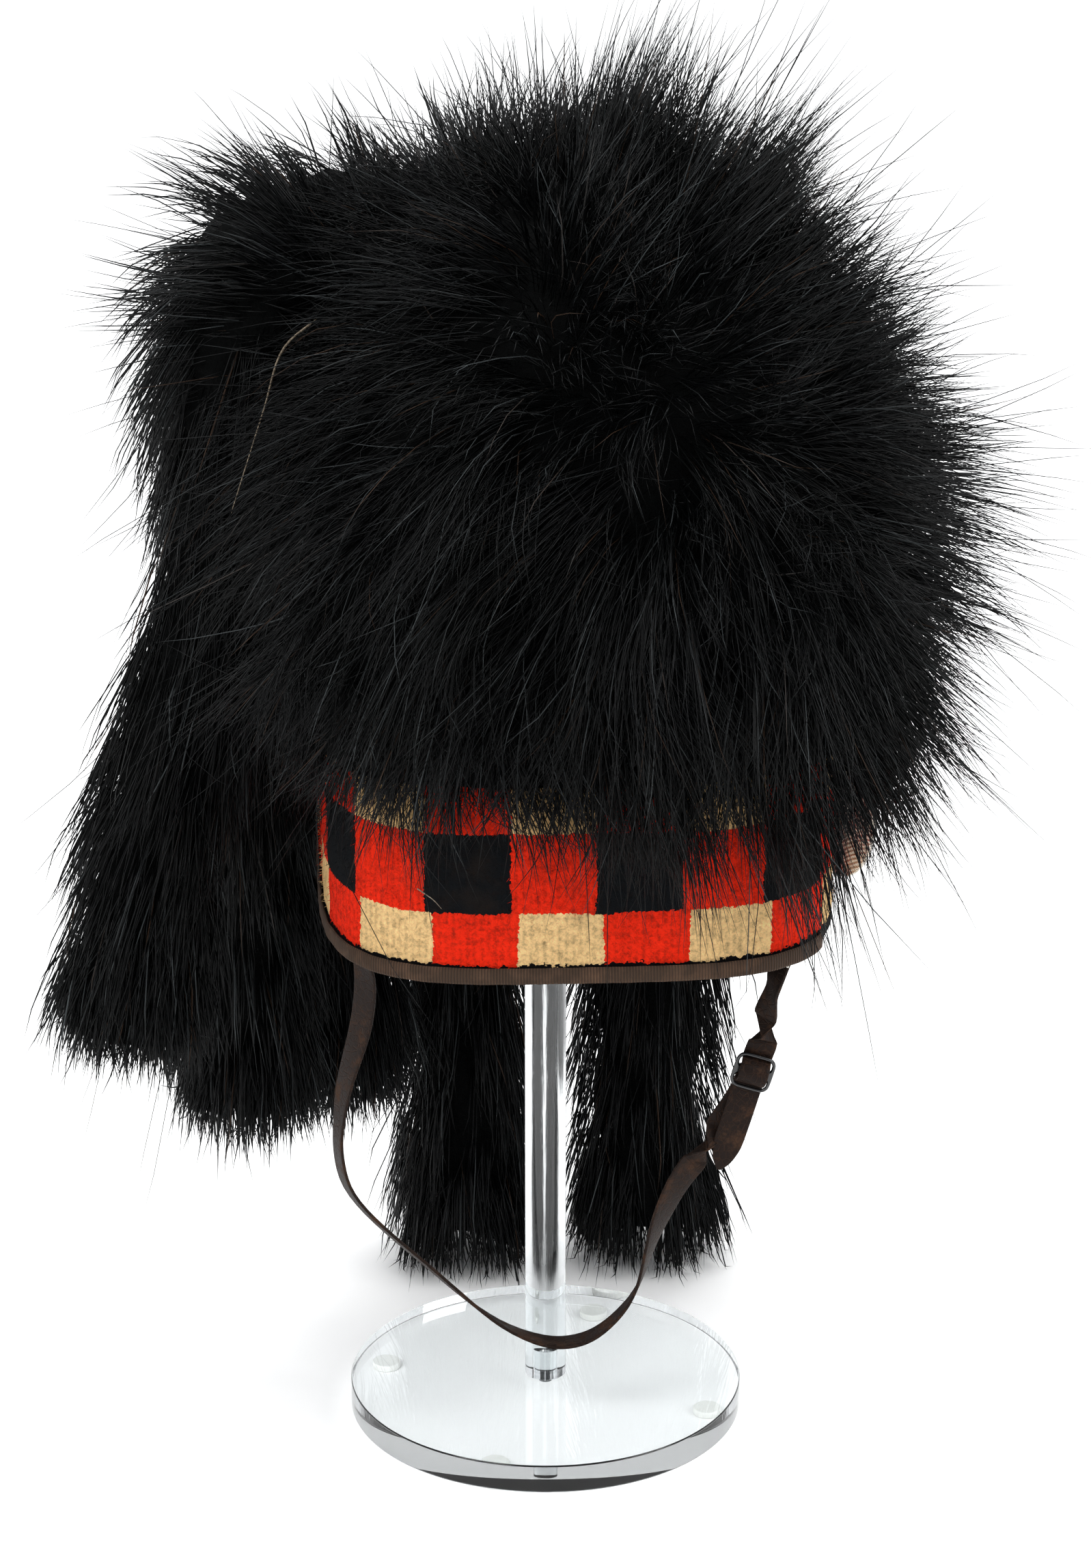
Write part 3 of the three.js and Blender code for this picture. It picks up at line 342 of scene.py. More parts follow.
def smooth_curve(points, spaced):
    """A centripetal Catmull-Rom curve through a few points, as evenly spaced places on it."""
    p = np.array(points, float)
    p = np.vstack((2 * p[0] - p[1], p, 2 * p[-1] - p[-2]))
    fine = []
    for i in range(1, len(p) - 2):
        d0, d1, d2 = (np.linalg.norm(p[i + k] - p[i + k - 1]) ** 0.5 for k in (0, 1, 2))
        leave = ((p[i] - p[i - 1]) / d0 - (p[i + 1] - p[i - 1]) / (d0 + d1) + (p[i + 1] - p[i]) / d1) * d1
        arrive = ((p[i + 1] - p[i]) / d1 - (p[i + 2] - p[i]) / (d1 + d2) + (p[i + 2] - p[i + 1]) / d2) * d1
        t = np.linspace(0, 1, 24, endpoint=False)[:, None]
        fine.append((2 * t ** 3 - 3 * t ** 2 + 1) * p[i] + (t ** 3 - 2 * t ** 2 + t) * leave
                    + (3 * t ** 2 - 2 * t ** 3) * p[i + 1] + (t ** 3 - t ** 2) * arrive)
    fine = np.vstack(fine + [p[-2:-1]])
    run = run_along(fine)
    return between(np.linspace(0, run[-1], spaced), run, fine), run[-1]


def tail_path(tail):
    _, size, root_azimuth, root_up, shoulder, hang, hang_off, end, end_off, end_height = tail
    radius = size * TAIL_RADIUS
    root_share, root_turn = np.array([root_up]), np.array([root_azimuth])
    root = crown_point(root_share, 2 * CLEARANCE + 3, root_turn)[0]
    out = crown_directions(root_share, root_turn)[0][0]
    points = [root, root + out * 0.4 * radius, root + out * shoulder * radius]
    top, bottom = BAND_TOP + CROWN_HEIGHT * HANG_UP, RIM_HEIGHT * end_height
    for t in np.linspace(0, 1, 5):
        swing = t * t * (3 - 2 * t)
        off = (hang_off + (end_off - hang_off) * swing) * radius
        points.append(rim_point(-off, hang + (end - hang) * swing, top + (bottom - top) * t))
    return smooth_curve(points, 80)


# Feather strands


def strand_mesh(name, points, radius, tone, cloth=None):
    """Joins tapered strands into one mesh. points: strand, place along it, coordinate."""
    count, rings = points.shape[0], points.shape[1] - 2
    along = unit(points[:, 2:] - points[:, :-2])
    first = unit(np.cross(along, unit(np.cross(along[:, :1], (0.31, 0.27, 0.91)) + 1e-4)))
    second = np.cross(along, first)
    spin = 2 * np.pi * np.arange(3) / 3
    circle = (first[:, :, None] * np.cos(spin)[:, None] + second[:, :, None] * np.sin(spin)[:, None])
    body = points[:, 1:-1, None] + circle * radius[:, :, None, None]
    each = 3 * rings + 2
    corners = np.concatenate(
        (points[:, :1], body.reshape(count, 3 * rings, 3), points[:, -1:]), axis=1)
    local = []
    for k in range(3):
        n = (k + 1) % 3
        local.append((0, 1 + n, 1 + k))
        for r in range(rings - 1):
            a, b = 1 + 3 * r + k, 1 + 3 * r + n
            local += [(a, b, b + 3), (a, b + 3, a + 3)]
        local.append((3 * rings - 2 + k, 3 * rings - 2 + n, 3 * rings + 1))
    faces = (np.arange(count)[:, None, None] * each + np.array(local)[None]).reshape(-1, 3)
    mesh = bpy.data.meshes.new(name)
    mesh.vertices.add(count * each)
    mesh.vertices.foreach_set("co", (corners * MM).ravel())
    mesh.loops.add(faces.size)
    mesh.loops.foreach_set("vertex_index", faces.ravel())
    mesh.polygons.add(len(faces))
    mesh.polygons.foreach_set("loop_start", np.arange(0, faces.size, 3))
    mesh.polygons.foreach_set("use_smooth", np.ones(len(faces), bool))
    mesh.update(calc_edges=True)
    layer = mesh.attributes.new("tone", "FLOAT", "POINT")
    layer.data.foreach_set("value", np.repeat(tone, each).astype(np.float32))
    if cloth is not None:
        layer = mesh.uv_layers.new(name="cloth")
        layer.uv.foreach_set("vector", np.repeat(cloth, 3 * len(local), axis=0).ravel())
    piece = bpy.data.objects.new(name, mesh)
    bpy.context.collection.objects.link(piece)
    return piece


def grow(rng, root, start, end, length, per_lock, root_spread, tip_spread, curl, sweep, places):
    """Strands of locks that leave in one direction and bend to another, and clear the band."""
    lock = np.repeat(np.arange(len(root)), per_lock)
    count = len(lock)
    start, end = unit(start)[lock], unit(end)[lock]
    across = unit(np.cross(start, end) + 1e-3 * np.array((0.3, 0.2, 0.9)))
    over = np.cross(start, across)
    disc = np.sqrt(rng.random(count))
    turn = rng.random(count) * 2 * np.pi
    a, b = (disc * np.cos(turn))[:, None], (disc * np.sin(turn))[:, None]
    spread_from = (a * across + b * over) * root_spread
    spread_to = (a * across + b * over) * tip_spread + rng.normal(0, 1.6, (count, 3))
    long = (length[lock] * rng.triangular(0.42, 0.8, 1.16, count))[:, None]
    loose = rng.random(count) < 0.05
    bow = rng.normal(0, curl, (count, 3)) * np.where(loose, 2.4, 1)[:, None]
    bow += rng.normal(0, sweep, (len(root), 3))[lock] if sweep else 0
    wave = rng.normal(0, 0.9, (count, 3))
    phase = rng.random(count)[:, None] * 2 * np.pi
    points = []
    for t in places:
        place = root[lock] + long * (start * (t - t * t / 2) + end * t * t / 2)
        place = place + spread_from * (1 - t) + spread_to * t + bow * t * t
        points.append(place + wave * t * np.sin(4.2 * t + phase))
    return keep_off(np.stack(points, axis=1)), lock


def keep_in(points):
    """Shortens strands that would reach much further out than the solids do."""
    low, high = (np.array(corner) / MM for corner in CAD_BOX)
    spare = SPARE_SHARE * (high - low) + SPARE
    root = points[:, :1]
    away = points - root
    room = np.where(away > 0, high + spare - root, root - low + spare)
    share = room / np.maximum(np.abs(away), 0.01)
    return root + away * np.clip(share.min(axis=(1, 2)), 0.2, 1)[:, None, None]


def keep_off(points):
    """Moves points that would lie inside the band or under the floor out of them."""
    flat = keep_in(points).reshape(-1, 3)
    low = flat[:, 2] < BAND_TOP + 4
    low &= flat[:, 2] > RIM_HEIGHT - 14
    middle = np.array((RIM_OFFSET_X, RIM_OFFSET_Y))
    away = flat[:, :2] - middle
    azimuth = np.degrees(np.arctan2(away[:, 1], away[:, 0])) - RIM_TURN
    wall = np.linalg.norm(rim_point(-1.2, azimuth, 0)[:, :2] - middle, axis=1)
    reach = np.linalg.norm(away, axis=1)
    inside = low & (reach < wall)
    flat[inside, :2] = middle + away[inside] * (wall[inside] / reach[inside])[:, None]
    flat[:, 2] = np.maximum(flat[:, 2], FLOOR + 0.9)
    return flat.reshape(points.shape)


def lock_roots(rng, spacing):
    """Places on the crown's felt, one for each lock, in rows from the hem to the top."""
    shares = np.linspace(0, 1, 200)
    profile = crown_point(shares, 3, np.zeros(200))
    run = run_along(profile)
    up, turn = [], []
    for row, at in enumerate(np.arange(1.5, run[-1], spacing)):
        share = float(np.interp(at, run, shares))
        around = np.pi * (RIM_WIDTH + RIM_DEPTH) / 2 * np.interp(share, CROWN_UP, CROWN_SPREAD)
        number = max(int(around / spacing), 3)
        steps = (np.arange(number) + 0.5 * (row % 2)) * 360 / number - 180
        turn.append(steps + rng.uniform(-0.4, 0.4, number) * 360 / number)
        up.append(np.clip(share + rng.uniform(-0.4, 0.4, number) * spacing / run[-1], 0.005, 0.995))
    return np.concatenate(up), np.concatenate(turn)


def primitive(kind, **values):
    """Adds one of the mesh primitives with nothing else selected."""
    bpy.ops.object.select_all(action="DESELECT")
    getattr(bpy.ops.mesh, "primitive_%s_add" % kind)(**values)
    return bpy.context.object


def select_only(piece):
    bpy.ops.object.select_all(action="DESELECT")
    piece.select_set(True)
    bpy.context.view_layer.objects.active = piece


def finish_piece(piece, name, slot, material, replaces=()):
    piece.name = piece.data.name = name
    piece.data.materials.clear()
    piece.data.materials.append(material)
    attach(piece, "root")
    if replaces:
        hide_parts(*replaces)
    return piece


def swept_ring(profile, segments, cloth=False):
    """A closed ring round the head. profile: functions of the azimuths that give its corners."""
    corners = len(profile)
    piece = primitive(
        "torus", major_segments=segments, minor_segments=corners, major_radius=0.08,
        minor_radius=0.01, generate_uvs=False)
    azimuth = np.arange(segments) * 360 / segments
    places = np.stack([corner(azimuth) for corner in profile], axis=1)
    piece.data.vertices.foreach_set("co", (places * MM).ravel())
    if cloth:
        ring = places[:, 0]
        closed = np.vstack((ring, ring[:1]))
        run = run_along(closed[:, :2])
        index = np.empty(len(piece.data.loops), int)
        piece.data.loops.foreach_get("vertex_index", index)
        major = (index // corners).reshape(-1, 4)
        wraps = major.max(axis=1) - major.min(axis=1) > segments / 2
        major[wraps[:, None] & (major == 0)] = segments
        height = places.reshape(-1, 3)[index, 2]
        layer = piece.data.uv_layers.new(name="cloth")
        layer.uv.foreach_set("vector", np.stack((run[major.ravel()], height), axis=1).ravel() * MM)
    mend_normals(piece)
    bpy.ops.object.shade_smooth_by_angle(angle=SMOOTH_ANGLE)
    return piece


def mend_normals(piece):
    select_only(piece)
    bpy.ops.object.mode_set(mode="EDIT")
    bpy.ops.mesh.select_all(action="SELECT")
    bpy.ops.mesh.normals_make_consistent(inside=False)
    bpy.ops.object.mode_set(mode="OBJECT")


def apply_modifier(piece, kind, **values):
    modifier = piece.modifiers.new(kind.title(), kind)
    for key, value in values.items():
        setattr(modifier, key, value)
    select_only(piece)
    bpy.ops.object.modifier_apply(modifier=modifier.name)


def refined_copy(node, bevel, levels):
    """A copy of a CAD node with its facets merged, its edges rounded and its faces smoothed."""
    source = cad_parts[node]
    piece = bpy.data.objects.new(node + "_fine", source.data.copy())
    bpy.context.collection.objects.link(piece)
    select_only(piece)
    bpy.ops.object.mode_set(mode="EDIT")
    bpy.ops.mesh.select_all(action="SELECT")
    bpy.ops.mesh.remove_doubles(threshold=0.01 * MM)
    bpy.ops.mesh.tris_convert_to_quads()
    bpy.ops.mesh.normals_make_consistent(inside=False)
    bpy.ops.object.mode_set(mode="OBJECT")
    if bevel:
        apply_modifier(piece, "BEVEL", width=bevel * MM, segments=2, limit_method="ANGLE",
                       angle_limit=SMOOTH_ANGLE)
    if levels:
        apply_modifier(piece, "SUBSURF", levels=levels, render_levels=levels)
    bpy.ops.object.shade_smooth_by_angle(angle=SMOOTH_ANGLE)
    return piece


# Materials


def add_node(tree, kind, values=None, links=None):
    """Adds a node, sets its settings and sockets, and links its inputs."""
    node = tree.nodes.new(kind)
    for key, value in (values or {}).items():
        if isinstance(key, str) and hasattr(node, key):
            setattr(node, key, value)
        else:
            node.inputs[key].default_value = value
    for key, socket in (links or {}).items():
        tree.links.new(socket, node.inputs[key])
    return node


def new_material(name, **values):
    """A new material with its node tree and shader. values: sockets that are the same all over."""
    material = bpy.data.materials.new(name)
    material.use_nodes = True
    tree = material.node_tree
    shader = tree.nodes["Principled BSDF"]
    for key, value in values.items():
        shader.inputs[key.replace("_", " ").title().replace("Ior", "IOR")].default_value = value
    return material, tree, shader


def math_node(tree, operation, first, second=0.0, third=0.0):
    node = add_node(tree, "ShaderNodeMath", {"operation": operation})
    for socket, value in zip(node.inputs, (first, second, third)):
        if isinstance(value, (int, float)):
            socket.default_value = value
        else:
            tree.links.new(value, socket)
    return node.outputs[0]


def mix_colour(tree, factor, first, second):
    node = add_node(tree, "ShaderNodeMix", {"data_type": "RGBA"})
    for socket, value in ((node.inputs[0], factor), (node.inputs[6], first), (node.inputs[7], second)):
        if isinstance(value, (int, float)):
            socket.default_value = value
        elif isinstance(value, bpy.types.NodeSocket):
            tree.links.new(value, socket)
        else:
            socket.default_value = (*value, 1)
    return node.outputs[2]


def noise(tree, vector, size, detail=3.0, roughness=0.55):
    """Noise whose lumps are about size millimetres across."""
    return add_node(tree, "ShaderNodeTexNoise", {
        "Scale": 1 / (size * MM), "Detail": detail, "Roughness": roughness,
    }, {"Vector": vector}).outputs["Fac"]


def bump(tree, shader, height, depth):
    """Links a bump whose full height is depth millimetres."""
    node = add_node(tree, "ShaderNodeBump", {"Distance": depth * MM}, {"Height": height})
    tree.links.new(node.outputs["Normal"], shader.inputs["Normal"])


def paint(tree, shader, colour):
    tree.links.new(colour, shader.inputs["Base Color"])


def ramp(tree, factor, low, high):
    """0 below low and 1 above high."""
    return add_node(tree, "ShaderNodeMapRange", {1: low, 2: high}, {0: factor}).outputs[0]


def object_place(tree):
    return add_node(tree, "ShaderNodeTexCoord").outputs["Object"]


def cloth_place(tree):
    """The place on a piece of cloth laid flat: along it, then up it."""
    place = add_node(tree, "ShaderNodeUVMap", {"uv_map": "cloth"}).outputs["UV"]
    return add_node(tree, "ShaderNodeSeparateXYZ", links={0: place}).outputs


def feather_material():
    # Ostrich feather dyed black: fine glossy fronds, the tenth of highest random tone painted grey
    # as a painted highlight that stands in for their glints, and a few that have faded to brown.
    s = settings()
    material, tree, shader = new_material(FEATHER_NAME, roughness=0.36, specular_ior_level=0.13)
    tone = add_node(tree, "ShaderNodeAttribute", {"attribute_name": "tone"}).outputs["Fac"]
    # The strands of highest tone take the glint colour: a painted highlight.
    dye_and_painted_glint = mix_colour(tree, ramp(tree, tone, 0.9, 1.0), tuple(s.feather_colour), tuple(s.feather_glint))
    faded = mix_colour(tree, ramp(tree, tone, 0.985, 0.99), dye_and_painted_glint, tuple(s.feather_faded))
    patch = ramp(tree, noise(tree, object_place(tree), 45), 0.4, 0.75)
    deep = mix_colour(tree, 0.45, faded, (0.004, 0.004, 0.005))
    paint(tree, shader, mix_colour(tree, patch, faded, deep))
    return material


def down_material():
    # The woolly felt under the feathers, matt and almost black.
    material, tree, shader = new_material(DOWN_NAME, roughness=0.95, specular_ior_level=0.05)
    lumps = noise(tree, object_place(tree), 2.5)
    paint(tree, shader, mix_colour(tree, lumps, linear("#020202"), linear("#050606")))
    bump(tree, shader, lumps, 1.5)
    return material


def wool_material():
    # Diced band of felted woollen cloth: checks knitted in red, cream and dark blue, fuzzy, with
    # faint upright ribs, dirty in places, and painted shade and highlights on its felted relief.
    s = settings()
    material, tree, shader = new_material("Diced felted wool", roughness=1.0, specular_ior_level=0.1)
    part = cloth_place(tree)
    spot = object_place(tree)
    fuzzy, uneven = noise(tree, spot, 1.1, 4.0), noise(tree, spot, 16)
    shift = math_node(tree, "MULTIPLY_ADD", math_node(tree, "ADD", fuzzy, uneven), 2.4 * MM, -2.4 * MM)
    u = math_node(tree, "ADD", part[0], shift)
    v = math_node(tree, "ADD", part[1], shift)
    low = math_node(tree, "GREATER_THAN", v, ROW_EDGES[0] * MM)
    high = math_node(tree, "LESS_THAN", v, ROW_EDGES[1] * MM)
    middle = math_node(tree, "MULTIPLY", low, high)
    stepped = math_node(tree, "MULTIPLY_ADD", low, ROW_STEP * MM, u)
    check_start = run_along(rim_point(BAND_INSET, np.linspace(0, CHECK_AZIMUTH % 360, 600), 0))[-1]
    column = math_node(tree, "FLOOR", math_node(tree, "DIVIDE", math_node(
        tree, "SUBTRACT", stepped, float(check_start) * MM), s.check_width))
    even = math_node(tree, "PINGPONG", column, 1.0)
    red, cream, blue = tuple(s.red_wool), tuple(s.cream_wool), tuple(s.blue_wool)
    outer = mix_colour(tree, even, cream, red)
    inner = mix_colour(tree, even, red, blue)
    cloth = mix_colour(tree, middle, outer, inner)
    # Knitted stitches: upright wales, each of slanting legs, felted over.
    wale = math_node(tree, "PINGPONG", math_node(tree, "DIVIDE", part[0], STITCH * 0.5 * MM), 1.0)
    legs = math_node(tree, "SINE", math_node(tree, "MULTIPLY", math_node(
        tree, "MULTIPLY_ADD", wale, 0.5 * STITCH * MM, part[1]), 2 * math.pi / (0.8 * STITCH * MM)))
    fibres = noise(tree, spot, 0.6, detail=5.0, roughness=0.75)
    tufts = math_node(tree, "MULTIPLY", noise(tree, spot, 1.9, detail=3.0), 1.4)
    relief = math_node(tree, "MULTIPLY_ADD", wale, 0.2, math_node(tree, "MULTIPLY", fibres, 1.3))
    relief = math_node(tree, "ADD", relief, math_node(tree, "MULTIPLY_ADD", legs, 0.04, tufts))
    # Painted shade: where the felt's relief is low, the colour is mixed half towards black. Painted
    # highlight: where the relief is high, it is made up to 1.4 times as bright.
    deep = mix_colour(tree, 0.5, cloth, (0.012, 0.006, 0.004))
    painted_fibre_highlight = add_node(tree, "ShaderNodeVectorMath", {"operation": "SCALE", "Scale": 1.4},
                      {0: cloth}).outputs["Vector"]
    light = mix_colour(tree, ramp(tree, relief, 1.45, 1.95), cloth, painted_fibre_highlight)
    cloth = mix_colour(tree, ramp(tree, relief, 1.44, 1.0), light, deep)
    dirt = ramp(tree, noise(tree, spot, 14), 0.55, 0.8)
    cloth = mix_colour(tree, dirt, cloth, mix_colour(tree, 0.25, cloth, linear("#3a2a1c")))
    # The band is painted near-black in a wavy strip just above the ribbon and along its top 4.5 mm.
    above_ribbon = math_node(tree, "LESS_THAN", v, math_node(
        tree, "MULTIPLY_ADD", noise(tree, spot, 2.6), 4.0 * MM, (RIM_HEIGHT + RIBBON_REACH - 1.4) * MM))
    topped = math_node(tree, "GREATER_THAN", v, (BAND_TOP - 4.5) * MM)
    edge = math_node(tree, "MAXIMUM", above_ribbon, topped)
    paint(tree, shader, mix_colour(tree, edge, cloth, linear("#0c0a0c")))
    bump(tree, shader, relief, 1.1)
    return material


def ribbon_material():
    # Ribbed silk ribbon, dyed brown, with fine upright ribs, rubbed paler in places.
    s = settings()
    material, tree, shader = new_material("Ribbed brown ribbon", roughness=0.75, specular_ior_level=0.2)
    part = cloth_place(tree)
    ribs = math_node(tree, "SINE", math_node(tree, "MULTIPLY", part[0], 2 * math.pi / (RIBBON_RIB * MM)))
    spot = object_place(tree)
    wear = ramp(tree, noise(tree, spot, 6), 0.45, 0.75)
    brown = mix_colour(tree, wear, tuple(s.ribbon_brown), linear("#5c4433"))
    shade = ramp(tree, ribs, 0.6, -0.9)
    dark = mix_colour(tree, math_node(tree, "MULTIPLY", shade, 0.5), brown, linear("#1d1510"))
    paint(tree, shader, dark)
    bump(tree, shader, math_node(tree, "ADD", ribs, noise(tree, spot, 1.5)), 0.25)
    return material


def weave_material(name, light, dark, thread, depth, roughness=0.9):
    # A plain weave: two sets of threads that show as light and dark bars.
    material, tree, shader = new_material(name, roughness=roughness)
    spot = object_place(tree)
    part = add_node(tree, "ShaderNodeSeparateXYZ", links={0: spot}).outputs
    turns = 2 * math.pi / (thread * MM)
    level = math_node(tree, "ADD", part[0], part[1])
    across = math_node(tree, "SINE", math_node(tree, "MULTIPLY", level, turns))
    upright = math_node(tree, "SINE", math_node(tree, "MULTIPLY", part[2], turns))
    weave = math_node(tree, "MULTIPLY", across, upright)
    worn = math_node(tree, "ADD", math_node(tree, "MULTIPLY", weave, 0.5), noise(tree, spot, 5))
    paint(tree, shader, mix_colour(tree, ramp(tree, worn, 0.0, 1.1), linear(dark), linear(light)))
    bump(tree, shader, weave, depth)
    return material


def leather_material():
    # Bridle leather, black-brown, whose finish has crackled and rubbed off to brown.
    s = settings()
    material, tree, shader = new_material("Crackled strap leather", roughness=0.5, specular_ior_level=0.1)
    spot = object_place(tree)
    cells = add_node(tree, "ShaderNodeTexVoronoi", {
        "feature": "DISTANCE_TO_EDGE", "Scale": 1 / (2.2 * MM),
    }, {"Vector": spot}).outputs["Distance"]
    grain = noise(tree, spot, 0.8, detail=5.0)
    worn = ramp(tree, math_node(tree, "ADD", noise(tree, spot, 9, detail=6.0, roughness=0.7),
                                math_node(tree, "MULTIPLY", grain, 0.25)), 0.64, 0.78)
    cracks = ramp(tree, cells, 0.07, 0.0)
    bare = math_node(tree, "MAXIMUM", worn, math_node(tree, "MULTIPLY", cracks, 0.45))
    colour = mix_colour(tree, bare, tuple(s.leather_dark), tuple(s.leather_worn))
    rubbed = add_node(tree, "ShaderNodeNewGeometry").outputs["Pointiness"]
    colour = mix_colour(tree, ramp(tree, rubbed, 0.54, 0.62), colour, linear("#4a423c"))
    paint(tree, shader, colour)
    tree.links.new(math_node(tree, "MULTIPLY_ADD", bare, 0.3, 0.5), shader.inputs["Roughness"])
    bump(tree, shader, math_node(tree, "SUBTRACT", grain, cracks), 0.12)
    return material


def japanned_material():
    # Iron wire japanned black: a smooth varnish, with a little rust where it has chipped.
    material, tree, shader = new_material("Japanned iron wire", roughness=0.28, coat_weight=0.4)
    chips = ramp(tree, noise(tree, object_place(tree), 1.6, detail=5.0), 0.66, 0.7)
    paint(tree, shader, mix_colour(tree, chips, linear("#0c0c0d"), linear("#3d2a20")))
    tree.links.new(math_node(tree, "MULTIPLY_ADD", chips, 0.5, 0.25), shader.inputs["Roughness"])
    return material


def silk_material():
    # Corded silk ribbon of the rosette, black with a soft shine.
    material, tree, shader = new_material("Pleated black silk", roughness=0.4, sheen_weight=0.3)
    folds = noise(tree, object_place(tree), 1.2)
    paint(tree, shader, mix_colour(tree, folds, linear("#08080a"), linear("#1b1c20")))
    bump(tree, shader, folds, 0.3)
    return material


def acrylic_material():
    # Cast acrylic, polished: clear, IOR 1.49, with hairline scratches from handling.
    material, tree, shader = new_material(
        "Polished cast acrylic", roughness=0.0, ior=1.49, transmission_weight=1,
        base_color=(*linear("#edf0f1"), 1))
    hairs = ramp(tree, noise(tree, object_place(tree), 12, detail=8.0, roughness=0.8), 0.6, 0.85)
    tree.links.new(math_node(tree, "MULTIPLY", hairs, 0.08), shader.inputs["Roughness"])
    # Light goes through it to what stands behind, so its shadow is faint.
    shadow = add_node(tree, "ShaderNodeLightPath").outputs["Is Shadow Ray"]
    tree.links.new(math_node(tree, "MULTIPLY_ADD", shadow, -0.9, 1.0), shader.inputs["Alpha"])
    return material


def pad_material():
    # Self-adhesive silicone pad, milky.
    material, tree, shader = new_material("Milky silicone pad", roughness=0.45)
    milk = noise(tree, object_place(tree), 3)
    paint(tree, shader, mix_colour(tree, milk, linear("#d9dad6"), linear("#f2f2ee")))
    return material


class BONNET_OT_band(bpy.types.Operator):
    """Makes the diced woollen band with its fuzz, and the ribbon bound round the rim"""
    bl_idname = "bonnet.band"
    bl_label = "Band and ribbon"

    def execute(self, context):
        wool = wool_material()
        self.make_cloth(wool)
        self.make_fuzz(wool)
        self.make_ribbon()
        lining = weave_material("Black cotton lining", "#1b191d", "#08080a", 0.9, 0.15)
        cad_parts["crown_frame"].data.materials.clear()
        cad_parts["crown_frame"].data.materials.append(lining)
        return {"FINISHED"}

    def make_cloth(self, wool):
        heights = np.linspace(BAND_BOTTOM, BAND_TOP, 23)
        inner = BAND_INSET + BAND_WALL

        def wall(inset, height):
            return lambda azimuth: rim_point(
                inset + 0.25 * np.sin(height * 0.8 + azimuth * 0.31) ** 2, azimuth, height)

        profile = [wall(BAND_INSET, height) for height in heights]
        profile += [wall(inner, height) for height in (BAND_TOP, BAND_BOTTOM)]
        band = swept_ring(profile, 264, cloth=True)
        finish_piece(band, "band_cloth", "diced_wool", wool, ["diced_band"])

    def make_fuzz(self, wool):
        rng = np.random.default_rng(SEED + 1)
        count = FUZZ_COUNT
        azimuth = rng.uniform(-180, 180, count)
        height = rng.uniform(RIM_HEIGHT + BINDING_REACH, BAND_TOP - 2, count)
        root = rim_point(BAND_INSET + 0.2, azimuth, height)
        middle = np.stack((np.full(count, RIM_OFFSET_X), np.full(count, RIM_OFFSET_Y), height), 1)
        out = unit(root - middle)
        lean = unit(out + rng.normal(0, 0.6, (count, 3)))
        points = np.stack([root + lean * t * rng.uniform(0.9, 2.2, (count, 1)) + (0, 0, -0.5 * t * t)
                           for t in (0, 0.3, 0.7, 1)], axis=1)
        turn = np.linspace(0, 360, 721)
        run = run_along(rim_point(BAND_INSET, turn, 0))
        cloth = np.stack((np.interp(azimuth % 360, turn, run), height), axis=1) * MM
        radius = np.full((count, 2), FUZZ_RADIUS) * FUZZ_TAPER
        fuzz = strand_mesh("band_fuzz", points, radius, rng.random(count), cloth)
        finish_piece(fuzz, "band_fuzz", "diced_wool", wool)

    def make_ribbon(self):
        def leg(inset, height):
            return lambda azimuth: rim_point(
                inset + 0.15 * np.sin(azimuth * 0.9) * np.sin(azimuth * 0.23), azimuth, height)

        reach, low, floor = RIM_HEIGHT + RIBBON_REACH, RIM_HEIGHT, RIM_HEIGHT + BINDING_WALL
        back = FRAME_INSET + FRAME_WALL + CLEARANCE
        profile = [
            leg(0.35, low), leg(0, low + 0.7), leg(0, low + 3), leg(0.1, reach - 0.4), leg(0.5, reach),
            leg(BINDING_WALL, reach - 0.4), leg(BINDING_WALL, floor), leg(back, floor),
            leg(back, reach), leg(back + BINDING_WALL, reach), leg(back + BINDING_WALL, low + 0.5),
            leg(back + 0.5, low),
        ]
        ribbon = swept_ring(profile, 288, cloth=True)
        finish_piece(ribbon, "rim_ribbon", "brown_ribbon", ribbon_material(), ["rim_binding"])


